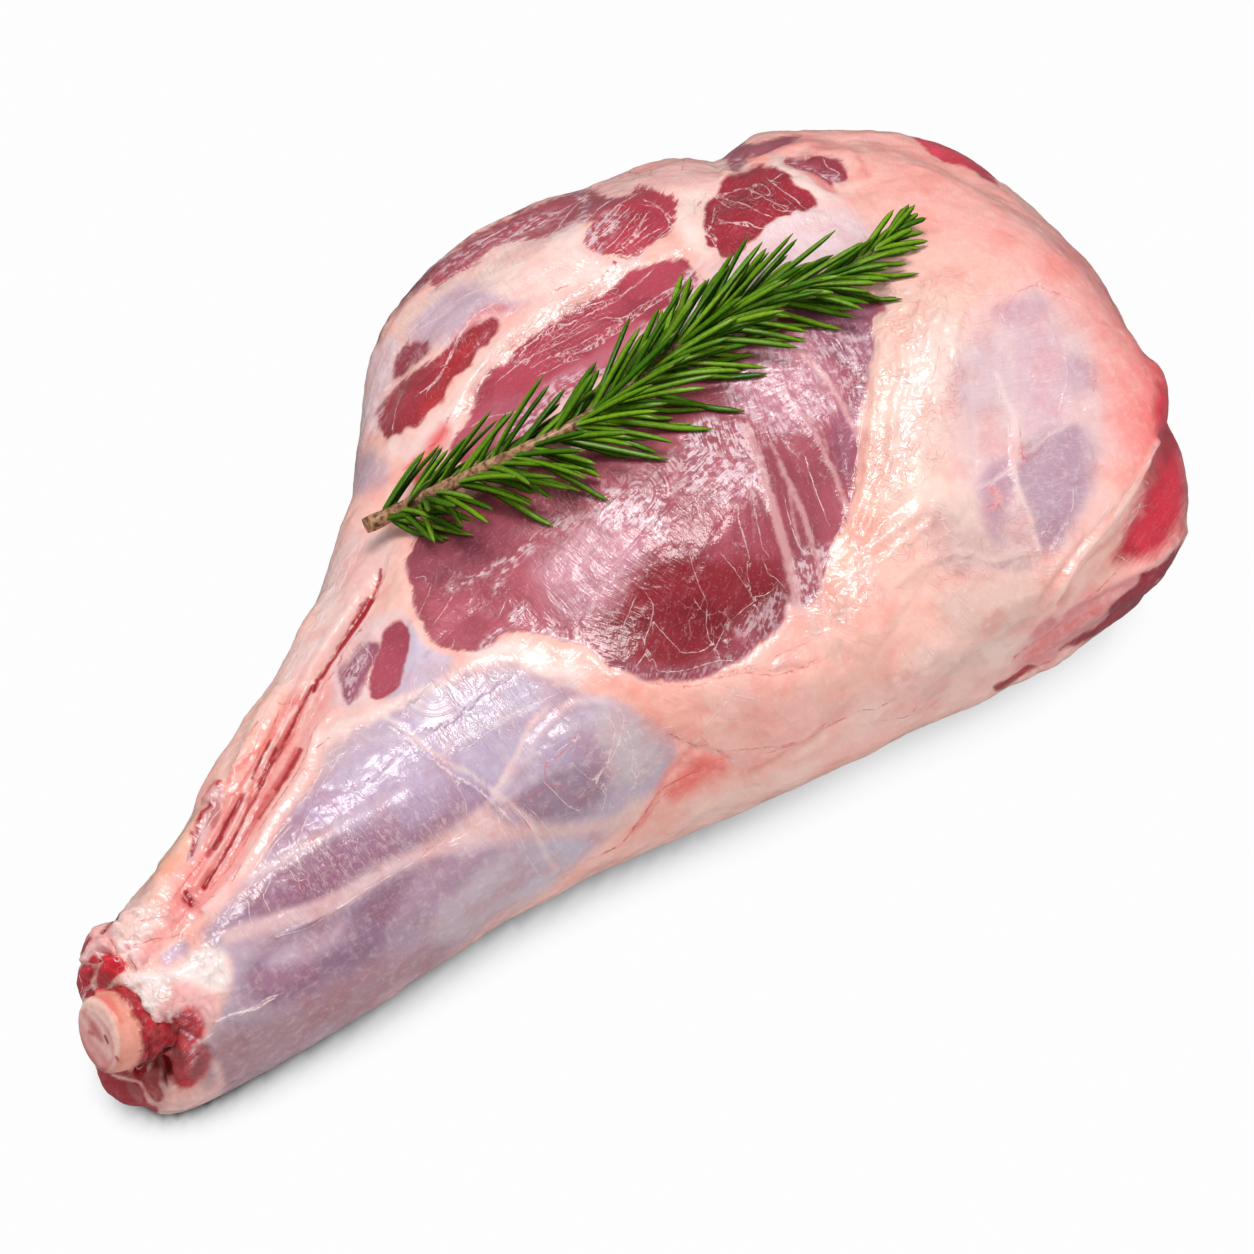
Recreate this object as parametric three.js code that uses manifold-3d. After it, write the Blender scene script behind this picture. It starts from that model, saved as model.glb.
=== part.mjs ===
// Raw leg of lamb with its shank bone, and a sprig of rosemary lying on top.
// Millimetres, +Z up. The leg lies on its flat side at z = 0, with the shank end
// towards -X, the rump towards +X and the rounded inner side of the thigh towards -Y.
import * as THREE from "three";
import { mergeVertices } from "three/addons/utils/BufferGeometryUtils.js";
import Module from "manifold-3d";

const wasm = await Module();
wasm.setup();

// ---------------------------------------------------------------- driving sizes

// Cross sections from the shank end to the rump. far and near are the two widest
// points in plan, waist is their level, top the height, under the lowest level
// before the meat is pressed flat by its own weight.
const SECTIONS = [
  { far: [-166, -6], near: [-169, -15], top: 28, waist: 22, under: 11 },
  { far: [-173, 5], near: [-177, -20], top: 41, waist: 22, under: -1 },
  { far: [-167, 13], near: [-172, -27], top: 48, waist: 22, under: -6 },
  { far: [-153, 17], near: [-153, -33], top: 50, waist: 23, under: -8 },
  { far: [-128, 23], near: [-128, -39], top: 54, waist: 24, under: -8 },
  { far: [-100, 33], near: [-100, -44], top: 60, waist: 26, under: -8 },
  { far: [-73, 41], near: [-73, -49], top: 67, waist: 29, under: -8 },
  { far: [-45, 52], near: [-44, -58], top: 74, waist: 32, under: -8 },
  { far: [-19, 68], near: [-14, -72], top: 86, waist: 35, under: -8 },
  { far: [8, 87], near: [14, -83], top: 95, waist: 39, under: -8 },
  { far: [42, 108], near: [44, -94], top: 102, waist: 42, under: -8 },
  { far: [81, 105], near: [78, -105], top: 107, waist: 43, under: -8 },
  { far: [122, 91], near: [108, -110], top: 108, waist: 43, under: -8 },
  { far: [153, 73], near: [128, -105], top: 104, waist: 42, under: -8 },
  { far: [176, 54], near: [143, -92], top: 94, waist: 41, under: -7 },
  { far: [187, 28], near: [159, -72], top: 78, waist: 39, under: -5 },
  { far: [188, -6], near: [178, -39], top: 56, waist: 37, under: 4 },
  { far: [188, -17], near: [185, -28], top: 45, waist: 35, under: 17 },
];
const ROUNDNESS = 2.15; // power of the section curve: 2 is an ellipse
const RINGS = 81; // rings along the leg
const UPPER_SIDES = 37; // facets round the part of a ring that is seen
const LOWER_SIDES = 10; // facets round the part near the table
const LOWER_ARC = THREE.MathUtils.degToRad(140);
const TABLE_FADE = [3, 16]; // relief fades in between these heights

// Relief of the surface. Each form follows a path over the skin, stands out by
// rise (or sinks, if it is negative) and fades over its width.
const RELIEF = [
  { of: "slit along the shank tendon", rise: -4.7, width: 4.2,
    path: [[-165, -14, 48], [-141, -5, 52], [-119, 2, 55], [-98, 8, 59], [-73, 18, 63], [-50, 24, 67], [-42, 28, 70]] },
  { of: "shank tendon", rise: 2.8, width: 4.7,
    path: [[-160, 1, 46], [-138, 5, 50], [-117, 11, 51], [-93, 19, 55], [-73, 28, 58]] },
  { of: "loose flap beside the tendon", rise: 3.3, width: 4.7,
    path: [[-117, 19, 46], [-100, 25, 48], [-80, 32, 51], [-58, 39, 54]] },
  { of: "groove between the shank muscles", rise: -1.9, width: 4.7,
    path: [[-144, -28, 44], [-127, -33, 44], [-106, -36, 46], [-82, -38, 51], [-73, -39, 55], [-46, -36, 65]] },
  { of: "upper shank muscle", rise: 1.9, width: 12.1,
    path: [[-140, -16, 51], [-99, -18, 59], [-65, -22, 66]] },
  { of: "lower shank muscle", rise: 2.3, width: 12.1,
    path: [[-149, -32, 35], [-127, -38, 33], [-90, -45, 37], [-59, -50, 42]] },
  { of: "small round shank muscle", rise: 2.3, width: 12.1,
    path: [[-56, -44, 56], [-43, -50, 56]] },
  { of: "band of fat over the knee", rise: 2.8, width: 8.4,
    path: [[-41, 23, 72], [-56, -3, 70], [-45, -28, 71], [-28, -46, 69], [-13, -63, 63], [7, -73, 61], [27, -77, 69]] },
  { of: "large muscle in the middle", rise: 3.7, width: 24.2,
    path: [[-13, -22, 87], [11, -35, 90]] },
  { of: "seam of fat on the far side", rise: -3.3, width: 6.5,
    path: [[-26, 37, 73], [-7, 41, 83], [12, 44, 89], [33, 39, 98], [55, 33, 102], [73, 23, 105], [97, 37, 103]] },
  { of: "long muscle beyond the seam", rise: 2.8, width: 11.2,
    path: [[1, 58, 80], [22, 61, 87], [46, 58, 95], [72, 51, 99]] },
  { of: "muscle behind the ridge", rise: 2.3, width: 13,
    path: [[20, 86, 69], [42, 91, 76], [69, 84, 86]] },
  { of: "notch in the far edge", rise: -5.6, width: 6.5,
    path: [[113, 48, 98], [124, 59, 91], [133, 71, 78], [140, 80, 58]] },
  { of: "cushion of lean near the notch", rise: 2.8, width: 14.9,
    path: [[90, 22, 105], [100, 20, 105]] },
  { of: "seam beside the cushion of lean", rise: -2.3, width: 6.5,
    path: [[74, 17, 106], [89, 2, 107], [110, 2, 107], [130, 10, 105]] },
  { of: "valley between thigh and rump", rise: -2.8, width: 9.3,
    path: [[82, -31, 105], [57, -49, 97], [39, -60, 88], [25, -67, 78]] },
  { of: "fat over the rump muscle", rise: 2.8, width: 12.1,
    path: [[97, -43, 104], [73, -61, 98], [48, -73, 86], [28, -76, 73]] },
  { of: "hollow in the rump", rise: -2.3, width: 16.7,
    path: [[97, -73, 95], [78, -74, 92]] },
  { of: "rim of fat round the rump", rise: 3.5, width: 6.5,
    path: [[146, -80, 74], [126, -95, 77], [106, -101, 73], [89, -101, 67], [71, -99, 61], [51, -94, 56], [33, -88, 50]] },
  { of: "crease under the rim", rise: -4.5, width: 5,
    path: [[148, -85, 62], [128, -101, 68], [109, -107, 62], [90, -107, 56], [70, -103, 51], [52, -97, 45]] },
  { of: "round muscle below the rim", rise: 2, width: 10,
    path: [[144, -90, 46], [128, -103, 48], [108, -109, 44]] },
  { of: "crease below the round muscle", rise: -4, width: 5,
    path: [[122, -104, 30], [100, -107, 32], [80, -104, 36], [60, -98, 36]] },
  { of: "lobe behind the rump", rise: 3, width: 10.2,
    path: [[154, 30, 92], [161, 16, 92], [163, 6, 92]] },
  { of: "groove above the lobe", rise: -3, width: 4.7,
    path: [[142, 32, 99], [150, 18, 99], [154, 4, 99], [153, -10, 98]] },
  { of: "hollow beside the bone", rise: -8, width: 5.5,
    path: [[-174, -20, 22], [-174, -11, 20]] },
];

// Ends of cut muscle and tendon that bulge round the bone at the sawn end.
const END_LOBES = [
  { of: "upper muscle", centre: [-167, 3, 40], radii: [9, 8, 9] },
  { of: "far muscle", centre: [-167, 7, 27], radii: [8, 7, 11] },
  { of: "lower muscle", centre: [-174, -9, 12], radii: [9.5, 11, 10] },
  { of: "near muscle", centre: [-165, -24, 24], radii: [8, 7, 12] },
  { of: "tendon over the bone", centre: [-168, -17, 41], radii: [10, 8, 5.5] },
];
const LOBE_SIDES = 12;
const LOBE_STEPS = 8;

// Gentle swells of the whole surface: wave lengths along X, Y and Z, and heights.
const SWELLS = [
  { length: [61, 47, 53], height: 0.7, shift: 0.4 },
  { length: [29, 34, 26], height: 0.45, shift: 2.1 },
  { length: [17, 15, 19], height: 0.25, shift: 4.0 },
];

// The shank bone: its axis from the sawn face inwards, and its radius from place to place.
const BONE_AXIS = [[-186.5, -12, 38], [-177, -14, 35], [-165, -15, 32.5], [-149, -14, 30], [-116, -11, 28], [-75, -7, 30]];
const BONE_RADII = [
  { at: 0, radius: 9.2 },
  { at: 1, radius: 10.2 },
  { at: 3.5, radius: 10.4 },
  { at: 15, radius: 8.7 },
  { at: 42, radius: 8 },
  { at: 116, radius: 7.6 },
];
const BONE_FLATTENING = 0.93; // height of its section over its width
const BONE_SIDES = 20;
const FIT_GAP = 0.3; // clearance between touching pieces
const SOCKET_LEAD = 12; // how far the cut for the socket starts outside the sawn face

// The rosemary: where its stem runs in plan, and how its needles grow.
const STEM_PLAN = [[-39, 36], [-27, 22], [-9, 11], [13, 2], [37, -4], [63, -11], [91, -19], [115, -21]];
const STEM_LIFT = { base: 8, tip: 5 }; // height of the stem over the meat
const STEM_RADIUS = { base: 2.1, tip: 0.7 };
const STEM_STEPS = 22;
const STEM_SIDES = 6;
const NEEDLE_WHORLS = 31;
const NEEDLES_PER_WHORL = 3;
const NEEDLE_LENGTH = { base: 23, middle: 30, tip: 14 };
const NEEDLE_HALF_WIDTH = 1.15;
const NEEDLE_HALF_THICKNESS = 0.7;
const NEEDLE_SPREAD = { far: 44, near: 52, top: 16 }; // degrees away from the stem
const NEEDLE_DROOP = 0.22; // share of its length that a side needle sinks at its tip
const NEEDLE_CLEARANCE = 0.8; // gap kept between a needle and the meat

// ---------------------------------------------------------------- small helpers

const vec = (xyz) => new THREE.Vector3(...xyz);
const smooth = (low, high, value) => THREE.MathUtils.smoothstep(value, low, high);
const signedPower = (value, power) => Math.sign(value) * Math.abs(value) ** power;

// A repeatable source of random numbers from 0 to 1.
function dice(seed) {
  let state = seed;
  return () => {
    state = (state * 16807) % 2147483647;
    return state / 2147483647;
  };
}

// A closed surface from equal rings of points, with a fan to a pole at each end.
function closedRings(rings, firstPole, lastPole) {
  const sides = rings[0].length;
  const points = [firstPole, ...rings.flat(), lastPole];
  const last = points.length - 1;
  const index = [];
  const id = (ring, side) => 1 + ring * sides + (side % sides);
  for (let side = 0; side < sides; side++) {
    index.push(0, id(0, side + 1), id(0, side));
    index.push(last, id(rings.length - 1, side), id(rings.length - 1, side + 1));
    for (let ring = 0; ring < rings.length - 1; ring++) {
      const [a, b] = [id(ring, side), id(ring, side + 1)];
      const [c, d] = [id(ring + 1, side), id(ring + 1, side + 1)];
      index.push(a, b, c, b, d, c);
    }
  }
  const geometry = new THREE.BufferGeometry().setFromPoints(points);
  geometry.setIndex(index);
  return geometry;
}

// A tube along points with an elliptic section. radii gives [half width, half height]
// at each point, and up the direction that its height keeps as near as it can.
function sweep(points, radii, sides, up) {
  const rings = points.map((point, i) => {
    const ahead = points[Math.min(i + 1, points.length - 1)];
    const behind = points[Math.max(i - 1, 0)];
    const along = ahead.clone().sub(behind).normalize();
    const across = up.clone().cross(along).normalize();
    const high = along.clone().cross(across);
    return Array.from({ length: sides }, (_, side) => {
      const turn = (side / sides) * 2 * Math.PI;
      return point.clone()
        .addScaledVector(across, radii[i][0] * Math.cos(turn))
        .addScaledVector(high, radii[i][1] * Math.sin(turn));
    });
  });
  return closedRings(rings, points[0].clone(), points[points.length - 1].clone());
}

function toSolid(geometry) {
  const bare = geometry.clone();
  bare.deleteAttribute("normal");
  bare.deleteAttribute("uv");
  const merged = mergeVertices(bare, 1e-5);
  return new wasm.Manifold(new wasm.Mesh({
    numProp: 3,
    vertProperties: Float32Array.from(merged.attributes.position.array),
    triVerts: Uint32Array.from(merged.index.array),
  }));
}

function toGeometry(solid) {
  const { vertProperties, triVerts } = solid.getMesh();
  const geometry = new THREE.BufferGeometry();
  geometry.setAttribute("position", new THREE.BufferAttribute(Float32Array.from(vertProperties), 3));
  geometry.setIndex(Array.from(triVerts));
  geometry.computeVertexNormals();
  return geometry;
}

// ---------------------------------------------------------------- the leg's skin

const COLUMNS = SECTIONS.map((s) => [...s.far, ...s.near, s.top, s.waist, s.under]);

// The section at station t, on a smooth curve through the named ones.
function sectionAt(t) {
  const last = COLUMNS.length - 1;
  const i = Math.min(Math.floor(t), last - 1);
  const f = t - i;
  const slope = (k, c) => {
    const [low, high] = [Math.max(k - 1, 0), Math.min(k + 1, last)];
    return (COLUMNS[high][c] - COLUMNS[low][c]) / (high - low);
  };
  return COLUMNS[i].map((value, c) => {
    const next = COLUMNS[i + 1][c];
    return (2 * f ** 3 - 3 * f ** 2 + 1) * value + (f ** 3 - 2 * f ** 2 + f) * slope(i, c)
      + (3 * f ** 2 - 2 * f ** 3) * next + (f ** 3 - f ** 2) * slope(i + 1, c);
  });
}

// A point of the smooth skin, at station t and at an angle round its section.
function skinPoint(t, angle) {
  const [farX, farY, nearX, nearY, top, waist, under] = sectionAt(t);
  const across = 0.5 + 0.5 * signedPower(Math.cos(angle), 2 / ROUNDNESS);
  const rise = signedPower(Math.sin(angle), 2 / ROUNDNESS);
  const height = rise > 0 ? waist + (top - waist) * rise : waist + (waist - under) * rise;
  return new THREE.Vector3(
    nearX + (farX - nearX) * across,
    nearY + (farY - nearY) * across,
    Math.max(height, 0),
  );
}

function skinNormal(t, angle) {
  const step = 0.01;
  const end = SECTIONS.length - 1;
  const along = skinPoint(Math.min(t + step, end), angle).sub(skinPoint(Math.max(t - step, 0), angle));
  const round = skinPoint(t, angle + step).sub(skinPoint(t, angle - step));
  return round.cross(along).normalize();
}

const PATHS = RELIEF.map((form) => ({ ...form, points: form.path.map(vec) }));

function distanceToPath(point, points) {
  const nearest = new THREE.Vector3();
  let best = Infinity;
  for (let i = 0; i < points.length - 1; i++) {
    new THREE.Line3(points[i], points[i + 1]).closestPointToPoint(point, true, nearest);
    best = Math.min(best, nearest.distanceTo(point));
  }
  return best;
}

// How far the surface stands out from the smooth skin at a point of it.
function reliefAt(point) {
  let rise = 0;
  for (const { points, width, rise: height } of PATHS) {
    const away = distanceToPath(point, points) / width;
    if (away < 3) rise += height * Math.exp(-away * away);
  }
  for (const { length, height, shift } of SWELLS) {
    const wave = (k) => Math.sin((point.getComponent(k) * 2 * Math.PI) / length[k] + shift * (k + 1));
    rise += height * (wave(0) + wave(1) + wave(2)) / 1.5;
  }
  return rise * smooth(...TABLE_FADE, point.z);
}

function legPoint(t, angle) {
  const point = skinPoint(t, angle);
  const rise = reliefAt(point);
  point.addScaledVector(skinNormal(t, angle), rise);
  point.z = Math.max(point.z, 0);
  return point;
}

// Stations for the rings, spaced evenly over the surface.
function evenStations(count) {
  const fine = 40 * (SECTIONS.length - 1);
  const length = [0];
  for (let i = 1; i <= fine; i++) {
    const [a, b] = [sectionAt(((i - 1) * (SECTIONS.length - 1)) / fine), sectionAt((i * (SECTIONS.length - 1)) / fine)];
    const far = Math.hypot(b[0] - a[0], b[1] - a[1]);
    const near = Math.hypot(b[2] - a[2], b[3] - a[3]);
    length.push(length[i - 1] + Math.max(far, near, Math.abs(b[4] - a[4])));
  }
  let k = 0;
  return Array.from({ length: count }, (_, i) => {
    const wanted = (length[fine] * i) / (count - 1);
    while (k < fine && length[k] < wanted) k++;
    return (k * (SECTIONS.length - 1)) / fine;
  });
}

function ringAngles() {
  const lowest = 1.5 * Math.PI;
  const upperArc = 2 * Math.PI - LOWER_ARC;
  const start = lowest + LOWER_ARC / 2;
  const upper = Array.from({ length: UPPER_SIDES }, (_, i) => start + (upperArc * i) / UPPER_SIDES);
  const lower = Array.from({ length: LOWER_SIDES }, (_, i) => start + upperArc + (LOWER_ARC * i) / LOWER_SIDES);
  return [...upper, ...lower];
}

function makeLegGeometry() {
  const angles = ringAngles();
  const rings = evenStations(RINGS).map((t) => angles.map((angle) => legPoint(t, angle)));
  const middle = (ring) => ring.reduce((sum, p) => sum.add(p), new THREE.Vector3()).divideScalar(ring.length);
  return closedRings(rings, middle(rings[0]), middle(rings[RINGS - 1]));
}

function makeLobeGeometry({ centre, radii }) {
  return new THREE.SphereGeometry(1, LOBE_SIDES, LOBE_STEPS).scale(...radii).translate(...centre);
}

// ---------------------------------------------------------------- the shank bone

// The bone's form, grown by gap all round; the socket that holds it is the same
// form with a gap, and starts further out.
function makeBoneGeometry(gap, lead) {
  const axis = new THREE.CatmullRomCurve3(BONE_AXIS.map(vec));
  const length = axis.getLength();
  const points = BONE_RADII.map(({ at }) => axis.getPointAt(Math.min(at / length, 1)));
  const radii = BONE_RADII.map(({ radius }) => [radius + gap, radius * BONE_FLATTENING + gap]);
  const inward = points[1].clone().sub(points[0]).normalize();
  const innerEnd = points[points.length - 1];
  innerEnd.addScaledVector(innerEnd.clone().sub(points[points.length - 2]).normalize(), gap);
  if (lead > 0) {
    points[0].addScaledVector(inward, -lead);
    radii[0] = radii[2];
    radii[1] = radii[2];
  }
  return sweep(points, radii, BONE_SIDES, new THREE.Vector3(0, 0, 1));
}

// ---------------------------------------------------------------- the rosemary

// Height of the upper surface of a geometry over a place in plan.
function heightFinder(geometry) {
  const { position } = geometry.attributes;
  const corner = (i) => new THREE.Vector3().fromBufferAttribute(position, i);
  const faces = [];
  for (let i = 0; i < geometry.index.count; i += 3) {
    const [a, b, c] = [0, 1, 2].map((k) => corner(geometry.index.getX(i + k)));
    const area = (b.x - a.x) * (c.y - a.y) - (c.x - a.x) * (b.y - a.y);
    if (area > 1e-6) faces.push({ a, b, c, area });
  }
  return (x, y) => {
    let height = 0;
    for (const { a, b, c, area } of faces) {
      const v = ((x - a.x) * (c.y - a.y) - (c.x - a.x) * (y - a.y)) / area;
      const w = ((b.x - a.x) * (y - a.y) - (x - a.x) * (b.y - a.y)) / area;
      const inside = v >= 0 && w >= 0 && v + w <= 1;
      if (inside) height = Math.max(height, a.z + v * (b.z - a.z) + w * (c.z - a.z));
    }
    return height;
  };
}

function stemCurve(heightAt) {
  const plan = new THREE.CatmullRomCurve3(STEM_PLAN.map(([x, y]) => new THREE.Vector3(x, y, 0)));
  const points = plan.getSpacedPoints(8).map(({ x, y }, i) => {
    const lift = THREE.MathUtils.lerp(STEM_LIFT.base, STEM_LIFT.tip, i / 8);
    return new THREE.Vector3(x, y, heightAt(x, y) + lift);
  });
  return new THREE.CatmullRomCurve3(points);
}

function makeStemGeometry(stem) {
  const points = stem.getSpacedPoints(STEM_STEPS);
  const radii = points.map((_, i) => {
    const radius = THREE.MathUtils.lerp(STEM_RADIUS.base, STEM_RADIUS.tip, i / STEM_STEPS);
    return [radius, radius];
  });
  return sweep(points, radii, STEM_SIDES, new THREE.Vector3(0, 0, 1));
}

// Needle length at a place along the stem, from 0 at its cut end to 1 at its tip.
function needleLength(place) {
  const { base, middle, tip } = NEEDLE_LENGTH;
  const end = place < 0.5 ? base : tip;
  return THREE.MathUtils.lerp(middle, end, (2 * place - 1) ** 2);
}

// One needle: a narrow leaf that leaves the stem at a turn round it, 0 on the near
// side, 90 degrees on top and 180 degrees on the far side.
function makeNeedleGeometry(stem, heightAt, place, turn, random) {
  const base = stem.getPointAt(place);
  const along = stem.getTangentAt(place);
  const near = along.clone().cross(new THREE.Vector3(0, 0, 1)).normalize();
  const upward = near.clone().cross(along);
  const outward = near.multiplyScalar(Math.cos(turn)).addScaledVector(upward, Math.sin(turn));
  const sideways = Math.abs(Math.cos(turn));
  const sideSpread = Math.cos(turn) > 0 ? NEEDLE_SPREAD.near : NEEDLE_SPREAD.far;
  const wide = THREE.MathUtils.lerp(NEEDLE_SPREAD.top, sideSpread, sideways) * (0.75 + 0.5 * random());
  const spread = THREE.MathUtils.degToRad(wide * (1 - 0.5 * place * place));
  const way = along.clone().multiplyScalar(Math.cos(spread)).addScaledVector(outward, Math.sin(spread));
  const length = needleLength(place) * (0.8 + 0.35 * random());
  const droop = NEEDLE_DROOP * sideways * length;
  const steps = [0, 0.45, 1];
  const widths = [0.7, 1, 0.3];
  const points = steps.map((u) => {
    const point = base.clone().addScaledVector(way, length * u);
    point.z -= droop * u * u;
    const floor = heightAt(point.x, point.y) + NEEDLE_HALF_THICKNESS + NEEDLE_CLEARANCE;
    point.z = Math.max(point.z, floor);
    return point;
  });
  const radii = widths.map((share) => [NEEDLE_HALF_WIDTH * share, NEEDLE_HALF_THICKNESS * share]);
  return sweep(points, radii, 4, new THREE.Vector3(0, 0, 1));
}

function makeSprigGeometry(heightAt) {
  const random = dice(4127);
  const stem = stemCurve(heightAt);
  let sprig = toSolid(makeStemGeometry(stem));
  for (let whorl = 0; whorl < NEEDLE_WHORLS; whorl++) {
    for (let k = 0; k < NEEDLES_PER_WHORL; k++) {
      const place = Math.min(0.04 + (0.95 * (whorl + 0.3 * k)) / NEEDLE_WHORLS, 0.99);
      const turn = Math.PI * (k / (NEEDLES_PER_WHORL - 1)) + 0.9 * (random() - 0.5);
      sprig = sprig.add(toSolid(makeNeedleGeometry(stem, heightAt, place, turn, random)));
    }
  }
  return toGeometry(sprig);
}

// ---------------------------------------------------------------- the part

function makeMesh(name, geometry, look) {
  geometry.computeVertexNormals();
  const mesh = new THREE.Mesh(geometry, new THREE.MeshStandardMaterial(look));
  mesh.name = name;
  return mesh;
}

const skin = makeLegGeometry();
const whole = END_LOBES.reduce((solid, lobe) => solid.add(toSolid(makeLobeGeometry(lobe))), toSolid(skin));
const socket = toSolid(makeBoneGeometry(FIT_GAP, SOCKET_LEAD));
const meat = toGeometry(whole.subtract(socket));
const bone = makeBoneGeometry(0, 0);
const sprig = makeSprigGeometry(heightFinder(skin));

const part = new THREE.Group();
part.add(makeMesh("leg_meat", meat, { color: 0xd9a09b, roughness: 0.35, metalness: 0 }));
part.add(makeMesh("shank_bone", bone, { color: 0xe9c4b4, roughness: 0.45, metalness: 0 }));
part.add(makeMesh("rosemary_sprig", sprig, { color: 0x3f7a24, roughness: 0.5, metalness: 0 }));

export default part;
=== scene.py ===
# Raw leg of lamb with a sprig of rosemary on it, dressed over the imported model. Metres, +Z up.
import math
from random import Random
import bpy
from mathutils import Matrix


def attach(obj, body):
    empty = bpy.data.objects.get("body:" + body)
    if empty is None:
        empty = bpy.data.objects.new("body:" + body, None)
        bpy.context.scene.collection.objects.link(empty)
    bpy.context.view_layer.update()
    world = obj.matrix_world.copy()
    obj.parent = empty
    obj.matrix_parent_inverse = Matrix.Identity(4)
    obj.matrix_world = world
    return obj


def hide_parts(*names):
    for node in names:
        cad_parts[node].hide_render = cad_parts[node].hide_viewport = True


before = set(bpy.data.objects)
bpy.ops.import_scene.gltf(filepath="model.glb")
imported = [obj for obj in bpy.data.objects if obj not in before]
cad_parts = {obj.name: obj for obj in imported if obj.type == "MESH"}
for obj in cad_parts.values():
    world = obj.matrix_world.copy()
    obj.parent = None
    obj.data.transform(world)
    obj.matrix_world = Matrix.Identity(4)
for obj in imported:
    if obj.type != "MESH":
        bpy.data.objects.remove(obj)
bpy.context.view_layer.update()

from types import SimpleNamespace

import bmesh
import bpy
import numpy as np
from mathutils import Matrix, Vector, noise
from mathutils.bvhtree import BVHTree

MM = 0.001

# ---------------------------------------------------------------- camera

PHOTO = 1254.0  # side of the photograph's frame, in its pixels
PIXEL = MM / 3.8  # what one of its pixels covers at the leg
CAMERA_TURN = math.radians(-48)
CAMERA_RISE = math.radians(45)
CAMERA_AWAY = 1.2555  # from the point it aims at, in metres
CAMERA_AIM = np.array([0.0065, -0.0130, 0.0372])
LENS = 135.0  # focal length and sensor width, in millimetres
SENSOR = 36.0
CAMERA_BACK = np.array([
    math.sin(CAMERA_TURN) * math.cos(CAMERA_RISE),
    -math.cos(CAMERA_TURN) * math.cos(CAMERA_RISE),
    math.sin(CAMERA_RISE),
])
CAMERA_RIGHT = np.array([math.cos(CAMERA_TURN), math.sin(CAMERA_TURN), 0.0])
CAMERA_UP = np.cross(CAMERA_BACK, CAMERA_RIGHT)


def make_camera():
    data = bpy.data.cameras.new("camera")
    data.lens = LENS
    data.sensor_width = SENSOR
    data.clip_start = 0.05
    camera = bpy.data.objects.new("camera", data)
    bpy.context.scene.collection.objects.link(camera)
    axes = np.eye(4)
    axes[:3, 0] = CAMERA_RIGHT
    axes[:3, 1] = CAMERA_UP
    axes[:3, 2] = CAMERA_BACK
    axes[:3, 3] = CAMERA_AIM + CAMERA_BACK * CAMERA_AWAY
    camera.matrix_world = Matrix(axes.tolist())
    bpy.context.scene.camera = camera


def to_photo(points):
    """Where points show in the photograph's frame, in its pixels."""
    away = points - (CAMERA_AIM + CAMERA_BACK * CAMERA_AWAY)
    zoom = LENS / SENSOR * PHOTO / -(away @ CAMERA_BACK)
    across = PHOTO / 2 + zoom * (away @ CAMERA_RIGHT)
    down = PHOTO / 2 - zoom * (away @ CAMERA_UP)
    return np.stack([across, down], axis=1)


# ---------------------------------------------------------------- the skin's colours

# Colours as a screen shows them, 0 to 255. Everything that no form below covers is plain fat or bone.
PEACH = (252, 196, 184)
BONE_SIDE = (236, 160, 140)
FLESH_RED = (156, 26, 38)

# ---------------------------------------------------------------- painted forms

# Every form is drawn over the photograph, in its pixels, and named after what it is there.


def area(of, colour, amount, fade, outline):
    """A closed form that fades over some pixels and covers what is under it by an amount."""
    return {"of": of, "colour": colour, "amount": amount, "fade": fade, "outline": outline}


def band(of, colour, amount, fade, width, path):
    """The same along a path, to a half width on both sides."""
    return {"of": of, "colour": colour, "amount": amount, "fade": fade, "width": width, "path": path}


def patch(of, amount, fade, outline):
    """A closed form that says how strongly the skin has a feature, from 0 to an amount."""
    return {"of": of, "amount": amount, "fade": fade, "outline": outline}


def strip(of, amount, fade, width, path):
    """The same along a path, to a half width on both sides."""
    return {"of": of, "amount": amount, "fade": fade, "width": width, "path": path}


def muscle(of, colour, soft, streaks, outline):
    """Lean meat: how soft its edge is and how far fat streaks into it, in millimetres."""
    return {"of": of, "colour": colour, "soft": soft, "streaks": streaks, "outline": outline}


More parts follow.
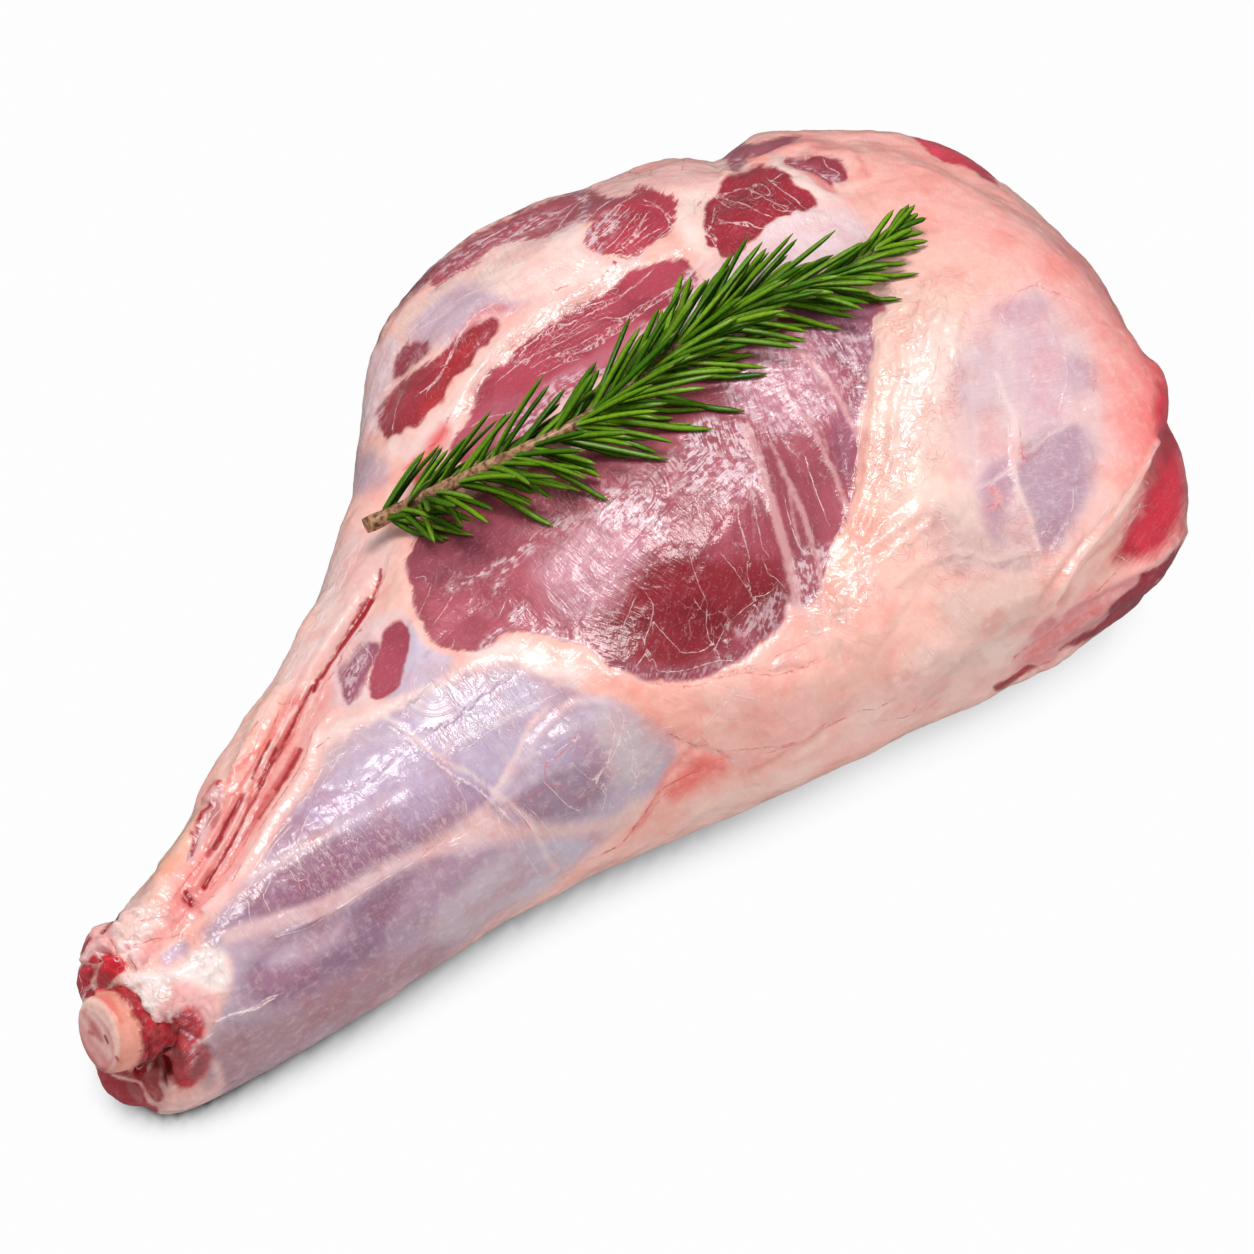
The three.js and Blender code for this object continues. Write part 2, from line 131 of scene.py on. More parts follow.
# The shank bone's sawn face.
BONE_FORMS = [
    area("pink top", (232, 120, 106), 0.9, 4, [
        (89, 999), (108, 997), (116, 1007), (122, 1022), (116, 1019), (108, 1007), (97, 1000),
    ]),
    area("face's cream rim", (248, 204, 190), 1, 3, [
        (75, 1012), (78, 1003), (86, 998), (98, 999), (108, 1009), (116, 1026), (119, 1048),
        (114, 1065), (103, 1074), (89, 1070), (79, 1059), (75, 1037),
    ]),
    area("marrow", (222, 148, 142), 0.95, 2, [
        (76, 1018), (83, 1010), (92, 1012), (103, 1022), (111, 1037), (114, 1051), (111, 1065),
        (101, 1073), (89, 1070), (80, 1059), (76, 1040),
    ]),
    band("red low edge", (186, 50, 56), 0.85, 6, 5, [(76, 1040), (80, 1057), (89, 1070), (102, 1074)]),
    band("pale streak", (240, 200, 192), 0.7, 4, 2, [(79, 1015), (88, 1028), (95, 1038), (105, 1051)]),
    band("second pale streak", (244, 206, 198), 0.7, 4, 2, [
        (88, 1012), (97, 1021), (105, 1037), (110, 1056),
    ]),
    area("red patch in the marrow", (190, 92, 90), 0.7, 4, [
        (92, 1022), (98, 1029), (103, 1041), (97, 1037), (91, 1029),
    ]),
    area("low red patch in the marrow", (186, 84, 86), 0.7, 5, [
        (86, 1050), (95, 1056), (97, 1065), (88, 1062), (83, 1054),
    ]),
    band("third pale streak", (232, 180, 174), 0.6, 4, 2, [(79, 1028), (88, 1044), (100, 1063)]),
    band("dark slit", (110, 40, 44), 0.95, 1, 1, [(105, 1036), (108, 1043)]),
    band("red spot by the slit", (196, 84, 84), 0.8, 1.5, 1.5, [(89, 1032), (93, 1034)]),
    band("red spot at the side", (190, 50, 56), 0.9, 1.5, 1.5, [(78, 1044), (81, 1048)]),
    band("red spot on the rim", (200, 56, 60), 0.9, 1.2, 1.2, [(116, 1057), (118, 1060)]),
]

# Fat and silver skin, painted one over the other. Forms named for sheen, glints, highlights, shade or
# shadow are painted light and shade.
COVER = [
    area("pink fat along the top", (252, 204, 200), 0.85, 12.8, [
        (560, 195), (605, 174), (651, 160), (696, 154), (710, 159), (719, 188), (705, 195), (673, 188),
        (646, 186), (605, 193), (574, 204),
    ]),
    band("salmon along the far ridge", (250, 176, 170), 0.7, 14.4, 6, [
        (560, 192), (607, 177), (653, 165), (695, 158),
    ]),
    area("salmon cap", (252, 178, 170), 0.75, 35.2, [
        (787, 140), (832, 131), (877, 127), (900, 129), (914, 154), (895, 170), (866, 156), (832, 145),
    ]),
    area("rosy fat behind the rump", (252, 176, 168), 0.85, 41.6, [
        (900, 150), (960, 170), (1060, 240), (1120, 310), (1150, 370), (1160, 420), (1130, 440),
        (1112, 380), (1080, 320), (1020, 270), (950, 230), (900, 200),
    ]),
    band("rim glow", (246, 84, 92), 0.85, 27.2, 7, [
        (1109, 299), (1129, 326), (1146, 363), (1156, 393), (1158, 417), (1151, 444),
    ]),
    band("rosy flank of the rim", (246, 128, 124), 0.7, 25.6, 10, [
        (1107, 378), (1122, 398), (1134, 427), (1129, 457), (1122, 476),
    ]),
    area("pale fat by the cushions", (253, 228, 220), 0.8, 11.2, [
        (687, 195), (707, 197), (701, 222), (705, 247), (719, 261), (719, 279), (705, 265), (687, 247),
        (678, 229), (680, 211),
    ]),
    band("cream between the cushions", (250, 218, 214), 0.8, 8, 5, [
        (778, 165), (798, 181), (821, 197), (832, 202),
    ]),
    band("pink rim of the little cushion", (246, 150, 144), 0.8, 8, 2.5, [
        (757, 159), (787, 147), (821, 145), (850, 154), (861, 170), (865, 179),
    ]),
    band("rose under the little cushion", (232, 110, 118), 0.8, 4.8, 1.5, [
        (809, 174), (825, 188), (835, 194),
    ]),
    area("clear skin by the cushion", (240, 212, 216), 0.95, 12.8, [
        (723, 261), (741, 251), (753, 240), (778, 220), (809, 211), (843, 211), (864, 227), (866, 247),
        (832, 265), (787, 279), (755, 295), (732, 295), (719, 276),
    ]),
    area("grey patch in the clear skin", (222, 196, 206), 0.75, 16, [
        (732, 265), (750, 256), (769, 254), (791, 256), (787, 270), (759, 274), (739, 279),
    ]),
    area("lilac patch in the clear skin", (238, 210, 216), 0.7, 12.8, [
        (827, 224), (855, 222), (866, 242), (846, 256), (821, 247),
    ]),
    area("far purple skin", (212, 182, 198), 0.95, 12.8, [
        (418, 320), (432, 297), (450, 283), (471, 282), (490, 287), (499, 297), (523, 304), (544, 297),
        (509, 313), (481, 318), (462, 332), (439, 343), (413, 341),
    ]),
    band("red behind the far lean", (222, 112, 116), 0.75, 8, 2.5, [
        (457, 336), (481, 317), (502, 308),
    ]),
    area("cream fat of the far side", (252, 218, 210), 0.95, 14.4, [
        (481, 262), (513, 243), (548, 234), (583, 224), (579, 250), (602, 273), (579, 287), (537, 297),
        (499, 294), (481, 283),
    ]),
    band("warm streaks in the far skin", (244, 206, 190), 0.7, 9.6, 3, [
        (385, 371), (401, 332), (425, 304), (462, 278),
    ]),
    area("grey far slope", (216, 196, 206), 0.8, 12.8, [
        (364, 413), (371, 367), (383, 343), (397, 343), (390, 378), (376, 413), (359, 448), (355, 474),
    ]),
    band("fat band by the long lean", (252, 214, 206), 0.95, 12.8, 7, [
        (443, 423), (460, 402), (481, 371), (499, 348), (520, 327), (551, 308), (583, 292), (614, 271),
        (625, 255),
    ]),
    area("fat under the far lean", (250, 216, 210), 0.9, 9.6, [
        (390, 437), (411, 437), (434, 420), (453, 413), (448, 437), (429, 448), (408, 460), (387, 455),
    ]),
    area("purple by the stem", (196, 166, 184), 0.8, 11.2, [
        (355, 460), (369, 453), (383, 465), (385, 483), (364, 493), (355, 483),
    ]),
    band("bright red by the stem", (244, 92, 92), 0.9, 8, 4.5, [
        (443, 432), (432, 446), (422, 460), (413, 474), (420, 483),
    ]),
    area("cream by the sprig's middle", (252, 224, 218), 0.85, 12.8, [
        (705, 283), (719, 279), (732, 299), (719, 313), (687, 335), (660, 347), (651, 333), (673, 308),
        (691, 297),
    ]),
    area("fat band beside the stripes", (250, 204, 190), 0.9, 17.6, [
        (880, 304), (900, 292), (940, 288), (960, 320), (956, 380), (940, 440), (910, 470), (890, 500),
        (876, 510), (862, 490), (866, 440), (872, 392), (876, 340),
    ]),
    area("white heart of the fat band", (250, 214, 202), 0.9, 14.4, [
        (916, 324), (950, 320), (956, 364), (940, 432), (910, 460), (894, 452), (892, 420), (902, 380),
        (912, 350),
    ]),
    band("salmon seam", (248, 176, 160), 0.6, 14.4, 7, [
        (860, 440), (866, 480), (860, 510), (852, 540), (844, 564), (840, 584),
    ]),
    band("warm fat at the foot of the stripes", (253, 196, 182), 0.7, 17.6, 9, [
        (830, 580), (852, 560), (880, 540), (892, 530),
    ]),
    area("cream slope", (252, 220, 206), 0.8, 22.4, [
        (892, 480), (920, 460), (960, 450), (980, 480), (980, 520), (920, 536), (892, 550), (880, 530),
    ]),
    area("grey knots", (204, 160, 160), 0.7, 18, [
        (794, 564), (812, 576), (820, 600), (804, 608), (796, 592),
    ]),
    area("grey knot low", (222, 180, 174), 0.7, 16, [
        (830, 608), (842, 604), (846, 616), (838, 624), (830, 620),
    ]),
    area("grey knot lower", (224, 182, 176), 0.6, 16, [(808, 624), (820, 622), (820, 636), (808, 636)]),
    area("rump muscle under skin", (232, 196, 198), 0.95, 30, [
        (971, 336), (1003, 309), (1038, 297), (1072, 319), (1094, 356), (1107, 400), (1104, 449),
        (1092, 501), (1070, 538), (1048, 553), (1018, 543), (986, 516), (964, 469), (953, 412),
        (957, 363),
    ]),
    area("lilac in the rump", (218, 178, 192), 0.7, 17.6, [
        (1013, 338), (1048, 331), (1062, 363), (1060, 412), (1038, 432), (1021, 402),
    ]),
    area("lilac by the rump's vein", (196, 166, 186), 0.6, 11.2, [
        (1072, 358), (1090, 363), (1090, 383), (1072, 380),
    ]),
    area("grey in the rump", (218, 188, 194), 0.6, 19.2, [
        (969, 358), (1003, 363), (1008, 398), (981, 412), (962, 393),
    ]),
    area("rump deep patch", (180, 148, 166), 0.85, 11.2, [
        (1040, 437), (1070, 427), (1082, 457), (1085, 486), (1070, 516), (1053, 545), (1038, 543),
        (1033, 511), (1018, 481), (1023, 452),
    ]),
    area("rump small deep patch", (196, 160, 178), 0.8, 9.6, [
        (984, 479), (1003, 462), (1012, 476), (1008, 496), (991, 501),
    ]),
    area("rump low deep patch", (200, 166, 174), 0.75, 8, [
        (991, 511), (1003, 508), (1006, 540), (991, 548), (986, 530),
    ]),
    area("rump crackled rim", (220, 186, 182), 0.8, 12.8, [
        (942, 533), (974, 530), (1003, 545), (1038, 555), (1040, 570), (998, 572), (962, 570),
        (937, 558),
    ]),
    area("rump grey slope", (228, 194, 186), 0.7, 16, [
        (915, 523), (949, 501), (981, 511), (974, 533), (937, 540),
    ]),
    area("warm fat round the rump", (250, 196, 186), 0.7, 14.4, [
        (1097, 486), (1109, 452), (1122, 462), (1112, 498), (1087, 535), (1058, 567), (1038, 585),
        (1033, 570), (1067, 545), (1090, 516),
    ]),
    area("grey oval", (226, 188, 176), 0.85, 20, [
        (934, 602), (949, 592), (981, 585), (1023, 577), (1035, 594), (1021, 624), (986, 639),
        (954, 639), (937, 624),
    ]),
    area("peach below the rump", (253, 200, 186), 0.8, 22.4, [
        (826, 609), (900, 604), (930, 619), (930, 644), (888, 658), (814, 646),
    ]),
    area("lowest side fat", (238, 200, 190), 0.7, 16, [
        (925, 654), (974, 646), (1011, 644), (998, 678), (962, 703), (900, 722), (826, 727),
        (838, 695),
    ]),
    band("outer rim fat", (250, 178, 172), 0.85, 8, 6, [
        (1183, 530), (1166, 553), (1136, 570), (1112, 590), (1087, 594), (1058, 619), (1028, 639),
    ]),
    area("low pink strip", (226, 150, 150), 0.9, 4.8, [
        (1141, 570), (1149, 575), (1122, 607), (1102, 626), (1072, 646), (1048, 661), (1018, 676),
        (996, 683), (1006, 666), (1038, 624), (1067, 607), (1097, 594), (1122, 580),
    ]),
    band("salmon streak in the low strip", (236, 130, 126), 0.7, 4.8, 2, [
        (1008, 668), (1038, 644), (1072, 624), (1109, 604),
    ]),
    band("salmon lower fat", (250, 178, 166), 0.45, 35.2, 12, [
        (650, 775), (700, 762), (780, 745), (860, 722), (930, 704),
    ]),
    band("peach hollow", (253, 190, 176), 0.7, 25.6, 12, [
        (600, 690), (660, 700), (730, 706), (800, 690), (860, 660), (900, 640),
    ]),
    area("cream fat under the lean", (254, 232, 226), 0.95, 11.2, [
        (468, 649), (488, 644), (517, 644), (552, 659), (587, 674), (577, 689), (547, 681), (517, 667),
        (488, 664), (468, 664),
    ]),
    area("peach fat beside the knee", (251, 186, 172), 0.85, 19.2, [
        (587, 674), (626, 681), (675, 689), (712, 704), (712, 738), (675, 738), (646, 716), (601, 699),
    ]),
    area("shank silver skin", (192, 166, 182), 1, 11.2, [
        (374, 721), (411, 699), (448, 679), (483, 668), (517, 670), (552, 684), (591, 701), (626, 709),
        (658, 728), (673, 745), (661, 770), (636, 802), (614, 822), (587, 849), (496, 913), (437, 960),
        (363, 1012), (289, 1060), (229, 1095), (205, 1060), (217, 1021), (227, 999), (232, 960),
        (205, 937), (247, 888), (271, 849), (301, 804), (328, 770), (350, 745),
    ]),
    area("underside of the shank", (180, 138, 146), 0.85, 17.6, [
        (264, 1024), (313, 1006), (363, 982), (412, 950), (449, 923), (486, 910), (461, 937),
        (412, 974), (363, 1006), (301, 1041), (239, 1085), (205, 1090), (215, 1036),
    ]),
    area("rosy underside", (182, 128, 144), 0.7, 12.8, [
        (284, 997), (318, 982), (363, 962), (392, 945), (382, 967), (343, 992), (308, 1006),
    ]),
    area("small shank muscle", (180, 142, 170), 0.85, 9.6, [
        (294, 812), (308, 802), (328, 784), (358, 775), (385, 777), (395, 786), (373, 799), (353, 812),
        (333, 821), (313, 831), (296, 841), (276, 853), (284, 829),
    ]),
    area("upper shank muscle", (162, 120, 144), 0.95, 16, [
        (217, 935), (239, 910), (264, 890), (294, 868), (318, 849), (338, 834), (368, 816), (402, 802),
        (437, 792), (469, 779), (488, 789), (484, 807), (456, 821), (427, 836), (402, 851), (377, 866),
        (348, 886), (318, 902), (294, 913), (264, 919), (239, 927),
    ]),
    area("heart of the upper shank muscle", (158, 100, 128), 0.75, 27.2, [
        (271, 888), (301, 868), (328, 856), (363, 849), (387, 851), (368, 868), (338, 888), (303, 905),
        (279, 908),
    ]),
    area("lower shank muscle", (142, 106, 130), 0.95, 17.6, [
        (247, 977), (264, 957), (294, 937), (328, 923), (363, 899), (392, 882), (424, 865), (456, 852),
        (486, 846), (496, 856), (474, 881), (449, 903), (424, 920), (402, 937), (368, 957), (328, 974),
        (296, 992), (271, 998), (252, 992),
    ]),
    area("heart of the lower shank muscle", (140, 94, 118), 0.75, 28.8, [
        (382, 898), (412, 881), (449, 863), (479, 851), (481, 861), (456, 883), (427, 905), (402, 918),
        (382, 913),
    ]),
    area("rosy foot of the lower muscle", (166, 114, 138), 0.7, 11.2, [
        (252, 977), (279, 962), (308, 962), (318, 977), (294, 989), (264, 994),
    ]),
    # Painted highlight: the lower muscle's slope is made paler where it catches the light.
    area("painted highlight on the lower muscle", (200, 174, 192), 0.8, 12.8, [
        (269, 962), (289, 945), (328, 932), (348, 920), (338, 942), (308, 957), (279, 964),
    ]),
    area("grey streaked skin", (212, 194, 198), 0.85, 12.8, [
        (432, 918), (451, 898), (486, 868), (511, 856), (548, 846), (565, 856), (548, 881), (498, 910),
        (466, 930), (437, 937),
    ]),
    area("skin sheen", (222, 210, 222), 0.85, 14.4, [
        (424, 694), (468, 674), (503, 669), (542, 684), (552, 699), (527, 713), (488, 728), (448, 748),
        (429, 738), (416, 718),
    ]),
    area("sheen's shadow", (196, 178, 194), 0.8, 12.8, [
        (448, 758), (488, 738), (527, 718), (542, 723), (527, 748), (503, 773), (478, 778), (458, 773),
    ]),
    area("far shank skin", (200, 174, 184), 0.8, 14.4, [
        (330, 748), (360, 733), (389, 728), (404, 748), (394, 773), (360, 787), (330, 787),
    ]),
    area("round muscle by the knee", (196, 174, 192), 0.95, 11.2, [
        (547, 738), (567, 713), (591, 706), (621, 711), (651, 728), (668, 748), (656, 778), (628, 805),
        (596, 820), (564, 829), (532, 827), (510, 807), (517, 778), (532, 758),
    ]),
    area("clear part of the round muscle", (208, 190, 194), 0.8, 12.8, [
        (599, 713), (638, 718), (663, 746), (648, 775), (616, 780), (596, 748),
    ]),
    area("shaded part of the round muscle", (176, 150, 174), 0.8, 11.2, [
        (547, 748), (577, 733), (599, 753), (591, 773), (562, 770), (542, 765),
    ]),
    area("dark heart of the round muscle", (152, 122, 142), 0.85, 12.8, [
        (517, 807), (542, 783), (572, 768), (594, 773), (604, 792), (579, 812), (547, 824), (525, 822),
    ]),
    area("low patch", (204, 190, 206), 0.8, 11.2, [
        (520, 847), (552, 837), (587, 844), (552, 874), (525, 891),
    ]),
    band("pink below the round muscle", (236, 196, 188), 0.85, 11.2, 5, [
        (468, 837), (517, 834), (577, 829), (614, 820), (636, 805),
    ]),
    band("upper cream band", (224, 194, 200), 0.9, 8, 3.5, [
        (239, 888), (271, 866), (308, 844), (338, 826), (363, 812), (387, 798), (402, 791),
    ]),
    band("lower cream band", (226, 188, 190), 0.95, 8, 7, [
        (229, 937), (269, 923), (313, 911), (348, 892), (377, 876), (407, 860), (437, 846), (464, 833),
        (486, 816),
    ]),
    area("meeting of the bands", (228, 190, 188), 0.85, 11.2, [
        (437, 841), (466, 824), (496, 821), (511, 839), (481, 849), (451, 851),
    ]),
    band("band to the knee", (226, 198, 204), 0.9, 4.8, 3, [
        (488, 805), (503, 787), (517, 768), (530, 750), (540, 733), (552, 718), (569, 706), (591, 702),
        (614, 706),
    ]),
    band("cream band at the knee", (243, 216, 210), 0.95, 9.6, 5, [
        (320, 738), (350, 723), (374, 713), (404, 701), (434, 686), (458, 672), (483, 662), (513, 659),
    ]),
    area("lavender triangle", (212, 194, 212), 1, 4.8, [
        (408, 622), (421, 642), (436, 653), (451, 662), (434, 681), (404, 694), (386, 697), (399, 674),
        (406, 649),
    ]),
    area("skin round the knee muscles", (232, 206, 210), 0.7, 8, [
        (330, 704), (345, 642), (379, 620), (402, 610), (411, 627), (404, 615), (377, 644), (367, 681),
        (369, 704), (350, 711),
    ]),
    area("flap by the slit", (240, 208, 204), 0.85, 12.8, [
        (338, 550), (360, 535), (390, 535), (385, 560), (370, 588), (345, 625), (325, 655), (310, 680),
        (292, 695), (280, 685), (295, 655), (318, 620), (322, 590),
    ]),
    area("pink flap", (244, 190, 184), 0.6, 14.4, [
        (352, 562), (370, 548), (385, 550), (375, 580), (360, 598), (345, 602),
    ]),
    area("peach flap", (252, 202, 188), 0.9, 11.2, [
        (280, 685), (295, 692), (280, 720), (260, 752), (238, 782), (222, 782), (228, 760), (240, 730),
        (255, 702),
    ]),
    area("salmon between the strands", (232, 124, 120), 0.8, 9.6, [
        (292, 695), (305, 705), (295, 735), (280, 765), (260, 800), (235, 842), (205, 885), (180, 910),
        (165, 915), (185, 880), (210, 840), (232, 795), (260, 752), (278, 720),
    ]),
    band("rosy strand", (240, 166, 162), 0.85, 8, 5, [
        (328, 680), (318, 710), (302, 745), (280, 780), (255, 825), (228, 870), (200, 910),
    ]),
    band("cream lumps", (252, 204, 198), 0.85, 8, 5, [
        (335, 712), (320, 732), (305, 772), (290, 798), (272, 822), (260, 845), (242, 870), (225, 890),
        (205, 912),
    ]),
    area("far peach side", (242, 190, 176), 0.85, 9.6, [
        (202, 820), (195, 845), (180, 870), (162, 892), (140, 905), (135, 895), (160, 860), (185, 828),
        (208, 802),
    ]),
    area("nodule", (226, 124, 128), 0.85, 3.6, [
        (210, 790), (220, 784), (224, 792), (215, 802), (208, 802),
    ]),
    band("skin between strands", (236, 176, 176), 0.8, 4.8, 3, [
        (220, 795), (210, 815), (205, 835), (195, 852),
    ]),
    area("white foot fat", (252, 238, 233), 0.95, 9.6, [
        (130, 975), (151, 972), (177, 969), (192, 955), (218, 949), (227, 966), (224, 987), (204, 990),
        (177, 984), (171, 1001), (154, 1016), (133, 1015), (126, 999), (125, 990),
    ]),
    area("pink foot fat", (246, 184, 182), 0.85, 9.6, [
        (174, 984), (192, 984), (215, 999), (213, 1016), (201, 1016), (192, 1006), (174, 1007),
        (163, 1022), (151, 1022), (169, 1001),
    ]),
    area("white lumps at the foot", (254, 226, 220), 0.9, 11.2, [
        (111, 925), (122, 911), (148, 908), (160, 916), (151, 934), (133, 946), (119, 949), (110, 940),
    ]),
    area("second white lump", (254, 226, 222), 0.9, 8, [
        (127, 952), (142, 949), (149, 956), (142, 966), (129, 963),
    ]),
    band("salmon at the foot", (244, 150, 148), 0.7, 9.6, 5, [
        (142, 960), (154, 943), (171, 928), (192, 913), (204, 899),
    ]),
    area("lavender at the foot", (206, 186, 210), 0.85, 8, [
        (163, 956), (185, 943), (188, 952), (167, 963),
    ]),
    band("thin pink wall", (250, 196, 190), 0.95, 3, 2.5, [
        (142, 1018), (151, 1028), (157, 1044), (161, 1059), (169, 1075), (174, 1087),
    ]),
    area("pink lip below the bone", (246, 176, 172), 0.95, 3.6, [
        (144, 1084), (154, 1079), (163, 1087), (170, 1095), (161, 1106), (151, 1101), (145, 1095),
    ]),
    area("pale low rim", (240, 196, 192), 0.9, 8, [
        (163, 1110), (177, 1101), (201, 1092), (215, 1081), (215, 1063), (221, 1087), (199, 1103),
        (174, 1113),
    ]),
    area("pink by the first lobes", (240, 176, 176), 0.85, 8, [
        (79, 957), (89, 938), (103, 928), (111, 934), (110, 952), (97, 959), (86, 965),
    ]),
    band("red strand below the slit", (214, 92, 96), 0.85, 3, 3.5, [
        (298, 752), (288, 772), (276, 788), (264, 806), (252, 824), (240, 840), (228, 858), (212, 876),
        (200, 892),
    ]),
    band("red strand by the nodule", (196, 66, 76), 0.85, 3, 3.2, [
        (244, 797), (238, 807), (230, 820), (222, 834), (214, 847), (208, 856),
    ]),
    band("white strand", (244, 190, 184), 0.85, 2.2, 2, [
        (248, 796), (240, 812), (230, 830), (220, 845), (212, 859), (203, 873), (194, 887),
    ]),
    band("second white strand", (244, 184, 178), 0.8, 2.2, 1.8, [
        (260, 802), (250, 821), (240, 838), (228, 860), (214, 879),
    ]),
    band("white membrane by the slit", (244, 206, 198), 0.8, 2.2, 2.2, [
        (297, 708), (288, 720), (278, 736), (266, 756), (254, 776), (244, 792),
    ]),
    band("grey membrane", (216, 168, 172), 0.85, 2.4, 2.6, [
        (220, 792), (210, 808), (204, 826), (197, 844), (191, 860),
    ]),
    area("brownish hollow", (186, 96, 96), 0.8, 3.6, [
        (212, 806), (218, 802), (220, 816), (214, 830), (208, 822),
    ]),
    area("peach side below the nodule", (244, 184, 160), 0.85, 4.8, [
        (208, 808), (194, 822), (180, 838), (164, 858), (150, 876), (166, 880), (180, 864), (190, 846),
        (200, 824),
    ]),
    band("salmon edge of the peach flap", (246, 134, 124), 0.8, 3, 2.2, [
        (276, 738), (260, 750), (246, 762), (236, 774), (228, 786),
    ]),
    area("red blot on the tendon", (206, 60, 72), 0.85, 3.6, [
        (181, 892), (188, 888), (195, 898), (194, 908), (186, 910), (180, 902),
    ]),
    area("salmon tendon", (248, 158, 152), 0.55, 8, [
        (180, 880), (196, 876), (212, 868), (228, 856), (240, 846), (248, 854), (236, 868), (220, 886),
        (204, 904), (188, 920), (176, 924), (172, 900),
    ]),
    area("salmon spot by the shank's end", (246, 122, 110), 0.9, 14.4, [
        (671, 782), (684, 771), (702, 763), (720, 761), (724, 769), (702, 778), (687, 787), (671, 796),
    ]),
    band("salmon seam to the edge", (240, 132, 122), 0.75, 4.8, 1.6, [
        (693, 747), (680, 761), (664, 774), (656, 796), (643, 818), (629, 832),
    ]),
    area("salmon wash at the knee", (250, 178, 162), 0.7, 19.2, [
        (633, 680), (684, 691), (693, 713), (691, 742), (667, 733), (633, 698),
    ]),
    area("rosy top of the belly", (253, 190, 176), 0.8, 22.4, [
        (827, 644), (871, 636), (898, 644), (893, 669), (871, 687), (838, 687), (813, 673),
    ]),
    area("rosy centre of the belly", (253, 192, 182), 0.7, 25.6, [
        (729, 691), (760, 684), (793, 689), (809, 711), (782, 733), (742, 733), (724, 713),
    ]),
    area("cream low slope", (248, 206, 192), 0.8, 11.2, [
        (644, 831), (684, 813), (716, 800), (738, 787), (773, 773), (800, 771), (764, 793), (724, 811),
        (684, 824),
    ]),
    area("pale slope under the fold", (250, 206, 194), 0.8, 9.6, [
        (782, 787), (809, 769), (838, 747), (871, 729), (916, 718), (924, 709), (893, 707), (862, 716),
        (836, 731), (809, 756),
    ]),
    band("pale fold along the belly", (250, 214, 200), 0.45, 8, 2.5, [
        (738, 788), (769, 774), (796, 759), (818, 738), (840, 723), (867, 709), (887, 704),
    ]),
    band("shaded line by the fold", (238, 152, 140), 0.7, 3.6, 1.5, [
        (751, 771), (782, 751), (811, 738), (824, 724),
    ]),
    area("grey patch in the belly", (236, 196, 184), 0.8, 9.6, [
        (907, 656), (938, 649), (962, 656), (964, 671), (933, 674), (904, 668),
    ]),
    band("rosy rim", (246, 98, 100), 0.75, 38.4, 16, [
        (1075, 185), (1118, 240), (1150, 300), (1172, 360), (1186, 420), (1196, 470),
    ]),
    band("rump's rosy rim", (242, 118, 118), 0.8, 25.6, 11, [
        (1070, 255), (1102, 278), (1125, 312), (1140, 345), (1150, 380), (1152, 410),
    ]),
    band("rump's inner rim", (250, 170, 164), 0.7, 25.6, 12, [
        (1058, 260), (1090, 290), (1108, 328), (1120, 365), (1125, 400), (1120, 440),
    ]),
    area("upper lilac fringe", (212, 172, 188), 0.75, 9.6, [
        (995, 312), (1020, 298), (1045, 305), (1035, 322), (1005, 325),
    ]),
    area("lilac shade at the right", (208, 174, 186), 0.75, 11.2, [
        (1070, 360), (1090, 365), (1088, 390), (1070, 395), (1062, 380),
    ]),
    area("blue-grey shade", (226, 196, 202), 0.7, 16, [
        (970, 350), (1000, 345), (1012, 370), (1005, 402), (975, 408), (958, 380),
    ]),
    area("dark lilac patch", (190, 152, 172), 0.8, 14.4, [
        (1070, 428), (1090, 452), (1086, 485), (1074, 510), (1061, 530), (1048, 550), (1038, 540),
        (1032, 515), (1032, 485), (1040, 460), (1052, 440),
    ]),
    area("dark lilac patch at the left", (192, 144, 162), 0.75, 11.2, [
        (1000, 462), (1010, 480), (1005, 505), (995, 528), (1004, 545), (992, 540), (982, 505),
        (990, 478),
    ]),
    band("pink spot by the tree", (232, 150, 150), 0.8, 3, 2, [(992, 490), (1000, 500), (992, 510)]),
    area("grey gap between the strands 1", (216, 178, 174), 0.75, 3.6, [
        (950, 538), (970, 531), (990, 538), (1004, 546), (985, 551), (960, 550),
    ]),
    area("grey gap between the strands 2", (216, 178, 174), 0.75, 3.6, [
        (954, 565), (965, 560), (972, 568), (960, 572),
    ]),
    area("grey gap between the strands 3", (214, 174, 174), 0.75, 3.6, [
        (992, 565), (1010, 558), (1028, 562), (1025, 571), (1005, 572),
    ]),
    area("grey gap between the strands 4", (214, 174, 174), 0.75, 3.6, [
        (1015, 532), (1028, 535), (1025, 545), (1015, 542),
    ]),
    area("grey gap between the strands 5", (216, 178, 174), 0.75, 3.6, [
        (928, 520), (950, 515), (955, 528), (935, 530),
    ]),
    band("pale tree's trunk", (242, 214, 212), 0.85, 3.6, 2.2, [
        (995, 376), (1004, 396), (1016, 420), (1016, 445), (1012, 465), (1018, 490), (1026, 511),
        (1032, 535), (1037, 550),
    ]),
    band("pale tree's right branch", (232, 196, 198), 0.75, 3, 1.2, [
        (1072, 415), (1052, 432), (1035, 448), (1020, 458),
    ]),
    band("pale tree's left branch", (240, 210, 208), 0.75, 3, 1.2, [
        (1014, 466), (1000, 478), (990, 484), (980, 490),
    ]),
    band("fat edge by the rim muscle", (252, 212, 200), 0.6, 4.8, 3, [
        (1156, 442), (1145, 470), (1132, 495), (1115, 520), (1095, 540), (1080, 558), (1065, 578),
        (1045, 602), (1032, 621),
    ]),
    band("second fat edge", (250, 206, 194), 0.55, 4.8, 2.6, [
        (1118, 535), (1102, 552), (1088, 572), (1072, 595), (1058, 615),
    ]),
    band("shade between the fat edges", (230, 158, 146), 0.8, 3, 1.4, [
        (1115, 528), (1098, 550), (1082, 568), (1070, 590), (1060, 602),
    ]),
    band("shade beside the fat edge", (236, 168, 156), 0.7, 3, 1.3, [
